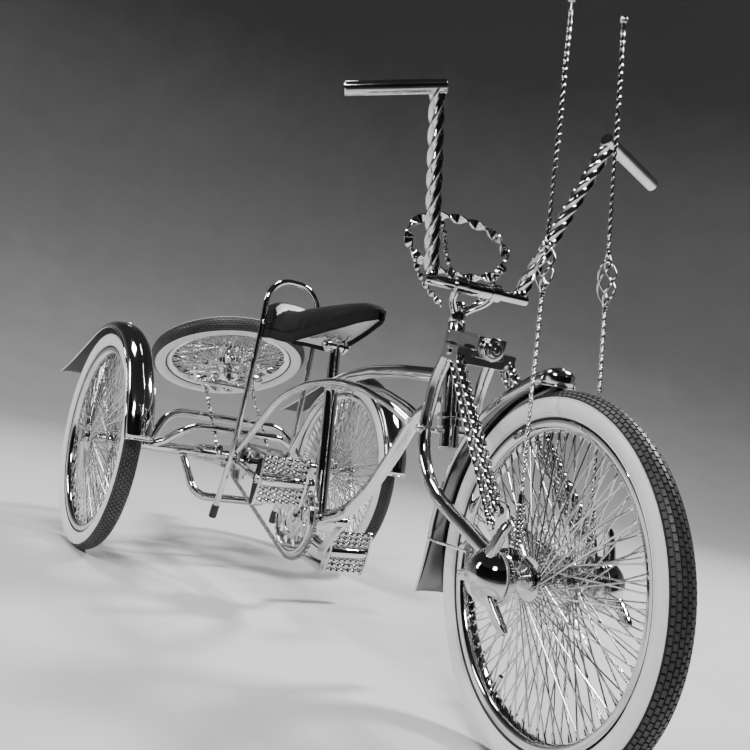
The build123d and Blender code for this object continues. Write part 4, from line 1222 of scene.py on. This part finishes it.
# name, body, corner points, bend radius, tube radius, kind: one, pair, or across the middle plane
BENT = (
    ("top_tube", "frame", ((448, 0, 470), (500, 0, 489), (580, 0, 504), (680, 0, 511), (ax_x(511) - 15, 0, 511)), 350, 12.7, "one"),
    ("down_tube", "frame", ((ax_x(466) - 15, 0, 466), (756, 0, 440), (705, 0, 360), (650, 0, 288), (590, 0, 232), (496, 0, 195)), 130, 12.7, "one"),
    ("rear_tubes", "frame", ((186, 64, 282), (300, 47, 418), (400, 36, 460), (500, 30, 474), (600, 27, 469), (700, 22, 445), (750, 15, 424)), 260, 8.0, "pair"),
    ("chainstays", "frame", ((460, 26, 196), (340, 38, 228), (258, 62, 246), (182, 64, 258)), 60, 8.0, "pair"),
    ("sissy_bar", "frame", ((146, 78, 125), (178, 75, 262), (196, 70, 560), (184, 66, 690), (184, 0, 690)), 60, 7.0, "across"),
    ("rack_rear_hoop", "frame", ((-8, 205, 266), (-22, 190, 290), (-40, 166, 325), (-45, 130, 340), (-45, 0, 340)), 60, 9.5, "across"),
    ("rack_front_hoop", "frame", ((14, 205, 258), (20, 179, 270), (33, 148, 298), (37, 112, 316), (37, 0, 316)), 60, 9.5, "across"),
    ("lower_hoop", "frame", ((8, 122, 236), (64, 98, 154), (64, 0, 154)), 42, 10.0, "across"),
    ("fork_legs", "fork", ((888, 40, 562), (857, 43, 500), (846, 45, 430), (856, 45, 378), (891, 45, 338), (940, 46, 313), (1150, 52, 258)), 110, 11.0, "pair"),
)
for nm, body, pts, bend, rad, kind in BENT:
    g = Geo()
    pts = np.array(pts, float)
    if kind == "across":
        pts = mirrored_path(pts)
        pts = np.delete(pts, len(pts) // 2, 0)
    for s in ((1, -1) if kind == "pair" else (1,)):
        p = resample(fillet(pts * np.array([1, s, 1]), bend, 3.0), 4.0)
        g.add(sweep(p, ring(rad, 28)))
        if nm == "fork_legs":
            # flattened end round the axle
            o = [(12 * math.cos(a), 12 * math.sin(a)) for a in np.linspace(-PI / 2, PI / 2, 12)] + [(-28, 11), (-34, 8), (-34, -8), (-28, -11)]
            g.add(prism(o, (1175, s * 49.6, 252.7), (1, 0, 0), (0, 0, 1), (0, s, 0), 4.8))
            g.add(ball((1149, s * 52, 258.3), 10.9, 20))
    g.make(nm + "_bent", [CHROME], body, "chrome", replaces=nm, sharp=50)

# painted shade: a dark disc standing in for the shadowed open end of the steerer, and its lock rings
g = Geo()
g.add(disc_solid(at(140.2), K, 14.2, 0.7, 32))
g.make("steerer_bore_painted_shade", [PAINTED_SHADE_STEEL], "fork", "chrome", sharp=40)
g = Geo()
g.add(revolve([(12.75, 0), (19, 0), (20, 1), (20, 5), (18, 6), (18, 8), (20, 9), (20, 11), (19, 12), (12.75, 12)], at(176), K, 48, closed=True))
g.add(revolve([(14.4, 0), (16.2, 0), (16.8, 0.8), (16.8, 47), (14.4, 47)], at(140.5), K, 48, closed=True))
g.add(sweep(straight((855, -60, 418), (855, 60, 418), 400), ring(4.6, 16)))
for s in (1, -1):
    g.add(dome_nut((855, s * 57, 418), (0, s, 0), 7.0, 8.0))
    g.add(disc_solid((855, s * 55.5, 418), (0, s, 0), 8.2, 2.0, 24))
g.make("steerer_rings", [CHROME], "fork", "chrome", replaces="fork_crown", sharp=35)

# twisted ring under the spare wheel, on four short arms
g = Geo()
nrm = np.array([0.4512, 0, -0.8924])
e1, e2_ = np.array([0.8924, 0, 0.4512]), np.array([0.0, 1.0, 0.0])
cen = np.array([-120.0, 0, 498]) + nrm * 50
p = np.array([cen + (e1 * math.cos(a) + e2_ * math.sin(a)) * 91 for a in np.linspace(0, 2 * PI, 160, endpoint=False)])
sl = arclen(np.vstack([p, p[:1]]))
g.add(sweep(p, square(4.2, 17), twist=sl[:-1] / sl[-1] * 7.5 * 2 * PI, closed=True, up=nrm))
for k_ in range(4):
    a = PI / 4 + k_ * PI / 2
    d = e1 * math.cos(a) + e2_ * math.sin(a)
    p = straight(cen + d * 20, cen + d * 90, 2.0)
    g.add(sweep(p, square(9, 3.4), twist=arclen(p) / 48 * 2 * PI, up=nrm))
g.make("spare_ring", [CHROME], "frame", "chrome", sharp=30)

# ------------------------------------------------------------------ fixings
g = Geo()
# seat post and clamp: toothed cheeks, bolt, nuts, rails up to the pan
u_ = unit((-46.0, 0, 248.0))
g.add(sweep(straight(np.array([437.0, 0, 462.0]) - u_ * 78, np.array([421.5, 0, 545.5]), 200), ring(12.4, 36)))
for s in (1, -1):
    g.add(disc_solid((422, s * 3, 549), (0, s, 0), 12.5, 12, 40))
    g.add(revolve([(0, 0), (14.5, 0), (15.5, 1.2), (15.5, 3.8), (12.5, 5), (12.5, 7), (10, 8), (0, 8)], (422, s * 16, 549), (0, s, 0), 40))
    g.add(hexnut((422, s * 24, 549), (0, s, 0), 8.0, 5))
    g.add(tube([(398, s * 15, 566), (422, s * 15, 563), (450, s * 15, 574)], 3.5, 30))
g.add(sweep(straight((422, -33, 549), (422, 33, 549), 200), ring(3.8, 16)))
# pinch bolt at the seat tube top
g.add(prism([(-9, -7), (9, -7), (9, 7), (-9, 7)], (454, -9, 468), (1, 0, 0), (0, 0, 1), (0, 1, 0), 18))
g.add(sweep(straight((458, -18, 468), (458, 20, 468), 100), ring(2.8, 12)))
g.add(hexnut((458, 12, 468), (0, 1, 0), 5.5, 5))
g.add(disc_solid((458, -14, 468), (0, -1, 0), 5.2, 5, 20))
g.make("seat_clamp", [CHROME], "frame", "chrome", replaces="seat_post", bevel=0.6)

g = Geo()
for s in (1, -1):
    # pivot bolts that tie the seat to the hoop
    g.add(dome_nut((197, s * 68.5, 584), (0, s, 0), 6.5, 6))
    g.add(sweep(straight((197, s * 44, 584), (197, s * 70, 584), 100), ring(3.0, 12)))
    # seat struts
    g.add(tube([(330, s * 30, 560), (372, s * 24, 560), (410, s * 20, 566)], 3.0, 20))
    # jackshaft nuts over the dropouts
    g.add(hexnut((172, s * 82.2, 258), (0, s, 0), 9.2, 6))
    g.add(disc_solid((172, s * 67.2, 258), (0, s, 0), 11, 1.6, 32))
    # rear hub nuts
    g.add(hexnut((0, s * 67.4, 252), (0, s, 0), 3, 0.5) if False else disc_solid((0, s * 74, 252), (0, s, 0), 20.4, 3, 40))
g.make("frame_fixings", [CHROME], "frame", "chrome", bevel=0.4)

# black tips on the feet of the hoop
g = Geo()
for s in (1, -1):
    foot = np.array([146.0, s * 78, 125.0])
    d = unit(np.array([178.0, s * 75, 262.0]) - foot)
    g.add(revolve([(0, -4.5), (7.5, -4.5), (9, -2.5), (9.2, 10), (8.8, 24), (8.2, 26), (7.02, 26), (7.02, 24)], foot, d, 28))
g.make("hoop_tips", [TIP], "frame", "tyre", sharp=35)

# axle end caps
for s, body in ((-1, "rear_axle"), (1, "rear_axle")):
    g = Geo()
    g.add(dome_nut((0, s * 362, 252), (0, s, 0), 12.5, 8.4))
    g.add(disc_solid((0, s * 360.3, 252), (0, s, 0), 15, 1.8, 32))
    g.make("axle_cap_%s" % ("right" if s < 0 else "left"), [CHROME], body, "chrome")

# crank details: cotter faces and bearing cups
g = Geo()
for s in (1, -1):
    g.add(revolve([(10.1, 34), (22, 34), (23, 35), (21, 38), (16.5, 39.4), (10.1, 39.4)], (476, 0, 191), (0, s, 0), 40, closed=True))
g.make("bracket_cups", [CHROME], "frame", "chrome")

# head set rings
g = Geo()
for d0, r0, r1, t in ((190, 22.0, 20.5, 9), (285, 20.5, 22.0, 9)):
    g.add(revolve([(17.6, 0), (r0, 0), (r0 + 0.4, 1), (0.5 * (r0 + r1) + 0.4, t / 2), (r1 + 0.4, t - 1), (r1, t), (17.6, t)], at(d0), K, 48, closed=True))
g.make("head_cups", [CHROME], "frame", "chrome")

# ------------------------------------------------------------------ materials of the frame nodes that stay
for nm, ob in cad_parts.items():
    ob.data.materials.clear()
    ob.data.materials.append(CHROME)
    ob.data.polygons.foreach_set("material_index", [0] * len(ob.data.polygons))
for nm in ("drive_chain", "axle_chain"):
    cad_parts[nm].data.materials.clear()
    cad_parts[nm].data.materials.append(STEEL)

# ------------------------------------------------------------------ stage, light, camera
fl, nt, p = new_mat("floor_paper")
n = noise(nt, 3.0, 5, 0.6)
geo = nt.nodes.new("ShaderNodeTexCoord")
sp = nt.nodes.new("ShaderNodeSeparateXYZ")
nt.links.new(geo.outputs["Object"], sp.inputs["Vector"])
add = nt.nodes.new("ShaderNodeMath")
add.operation = "MULTIPLY_ADD"
add.inputs[1].default_value = 0.16
nt.links.new(sp.outputs["Z"], add.inputs[0])
sc_ = nt.nodes.new("ShaderNodeMath")
sc_.operation = "MULTIPLY"
sc_.inputs[1].default_value = 0.12
nt.links.new(n.outputs["Fac"], sc_.inputs[0])
nt.links.new(sc_.outputs["Value"], add.inputs[2])
# painted shade: the backdrop goes from pale on the floor to dark grey up the curved wall, standing in for light falling
# off with height
c = ramp(nt, add.outputs["Value"], [(0.03, grey(0.72)), (0.09, grey(0.66)), (0.30, grey(0.40)), (0.75, grey(0.13))])
dt = nt.nodes.new("ShaderNodeVectorMath")
dt.operation = "DOT_PRODUCT"
dt.inputs[1].default_value = (0.84, -0.54, 0.25)
nt.links.new(geo.outputs["Object"], dt.inputs[0])
# painted shade: floor and wall darken towards and behind the camera, so the chrome faces reflect dark there
side = maprange(nt, dt.outputs["Value"], 1.0, 0.03, 0.8, 1.8)
mx = nt.nodes.new("ShaderNodeVectorMath")
mx.operation = "SCALE"
nt.links.new(c.outputs["Color"], mx.inputs[0])
nt.links.new(side.outputs["Result"], mx.inputs["Scale"])
nt.links.new(mx.outputs["Vector"], p.inputs["Base Color"])
p.inputs["Roughness"].default_value = 0.75
# pale floor that curves up into a round studio wall
me = bpy.data.meshes.new("floor")
prof = [(0.0, 0.0), (2.0, 0.0), (4.2, 0.0)] + [(4.2 + 3.3 * math.sin(a), 3.3 - 3.3 * math.cos(a)) for a in np.linspace(0.08, PI / 2, 16)] + [(7.5, 5.4)]
V, F = [(0.0, 0.0, 0.0)], []
nf = 96
for r_, z_ in prof[1:]:
    for i in range(nf):
        a = 2 * PI * i / nf
        V.append((r_ * math.cos(a), r_ * math.sin(a), z_))
for i in range(nf):
    F.append((0, 1 + i, 1 + (i + 1) % nf))
for k_ in range(len(prof) - 2):
    for i in range(nf):
        j = (i + 1) % nf
        F.append((1 + k_ * nf + i, 1 + (k_ + 1) * nf + i, 1 + (k_ + 1) * nf + j, 1 + k_ * nf + j))
me.from_pydata(V, [], F)
me.polygons.foreach_set("use_smooth", [True] * len(me.polygons))
me.materials.append(fl)
floor = bpy.data.objects.new("floor", me)
bpy.context.scene.collection.objects.link(floor)

world = bpy.data.worlds.new("studio")
bpy.context.scene.world = world
world.use_nodes = True
wn = world.node_tree
bg = wn.nodes["Background"]
tc = wn.nodes.new("ShaderNodeTexCoord")
sep = wn.nodes.new("ShaderNodeSeparateXYZ")
wn.links.new(tc.outputs["Generated"], sep.inputs["Vector"])
rp = wn.nodes.new("ShaderNodeValToRGB")
cr = rp.color_ramp
cr.elements[0].position = 0.0
cr.elements[0].color = (0.30, 0.30, 0.30, 1)
cr.elements[1].position = 1.0
cr.elements[1].color = (0.02, 0.02, 0.02, 1)
e = cr.elements.new(0.22)
e.color = (0.10, 0.10, 0.10, 1)
e = cr.elements.new(0.5)
e.color = (0.04, 0.04, 0.04, 1)
wn.links.new(sep.outputs["Z"], rp.inputs["Fac"])
wn.links.new(rp.outputs["Color"], bg.inputs["Color"])
bg.inputs["Strength"].default_value = 1.0


def area(name, loc, target, size, energy, size_y=None):
    l = bpy.data.lights.new(name, "AREA")
    l.shape = "RECTANGLE"
    l.size = size
    l.size_y = size_y or size
    l.energy = energy
    o = bpy.data.objects.new(name, l)
    bpy.context.scene.collection.objects.link(o)
    o.location = loc
    o.rotation_euler = (Vector(target) - Vector(loc)).to_track_quat("-Z", "Y").to_euler()
    return o


area("key", (0.5, 2.4, 3.3), (0, 0, 0.1), 0.55, 190, 0.55)
area("front", (2.9, -2.4, 3.0), (0.2, 0, 0.4), 0.8, 110, 0.8)
area("top", (-1.2, -0.6, 3.9), (-0.2, 0, 0.2), 1.0, 90, 0.7)
area("side", (-1.6, -3.4, 2.2), (-0.4, -0.2, 0.4), 0.5, 70, 1.3)

cam_d = bpy.data.cameras.new("camera")
cam = bpy.data.objects.new("camera", cam_d)
bpy.context.scene.collection.objects.link(cam)
right = np.array([0.5417, 0.8199, 0.1852])
down = np.array([0.0644, 0.1791, -0.9817])
fwd = np.array([-0.8381, 0.5438, 0.0442])
pos = (np.array([1953.41, -882.48, 426.6]) - np.array([X_MID, 0, 0])) / 1000.0
R3 = Matrix((tuple(right), tuple(-down), tuple(-fwd))).transposed()
cam.matrix_world = Matrix.Translation(Vector(pos)) @ R3.to_quaternion().to_matrix().to_4x4()
cam_d.sensor_width = 36.0
cam_d.lens = 838.906 / 750.0 * 36.0
cam_d.clip_start = 0.01
bpy.context.scene.camera = cam

bpy.context.view_layer.update()
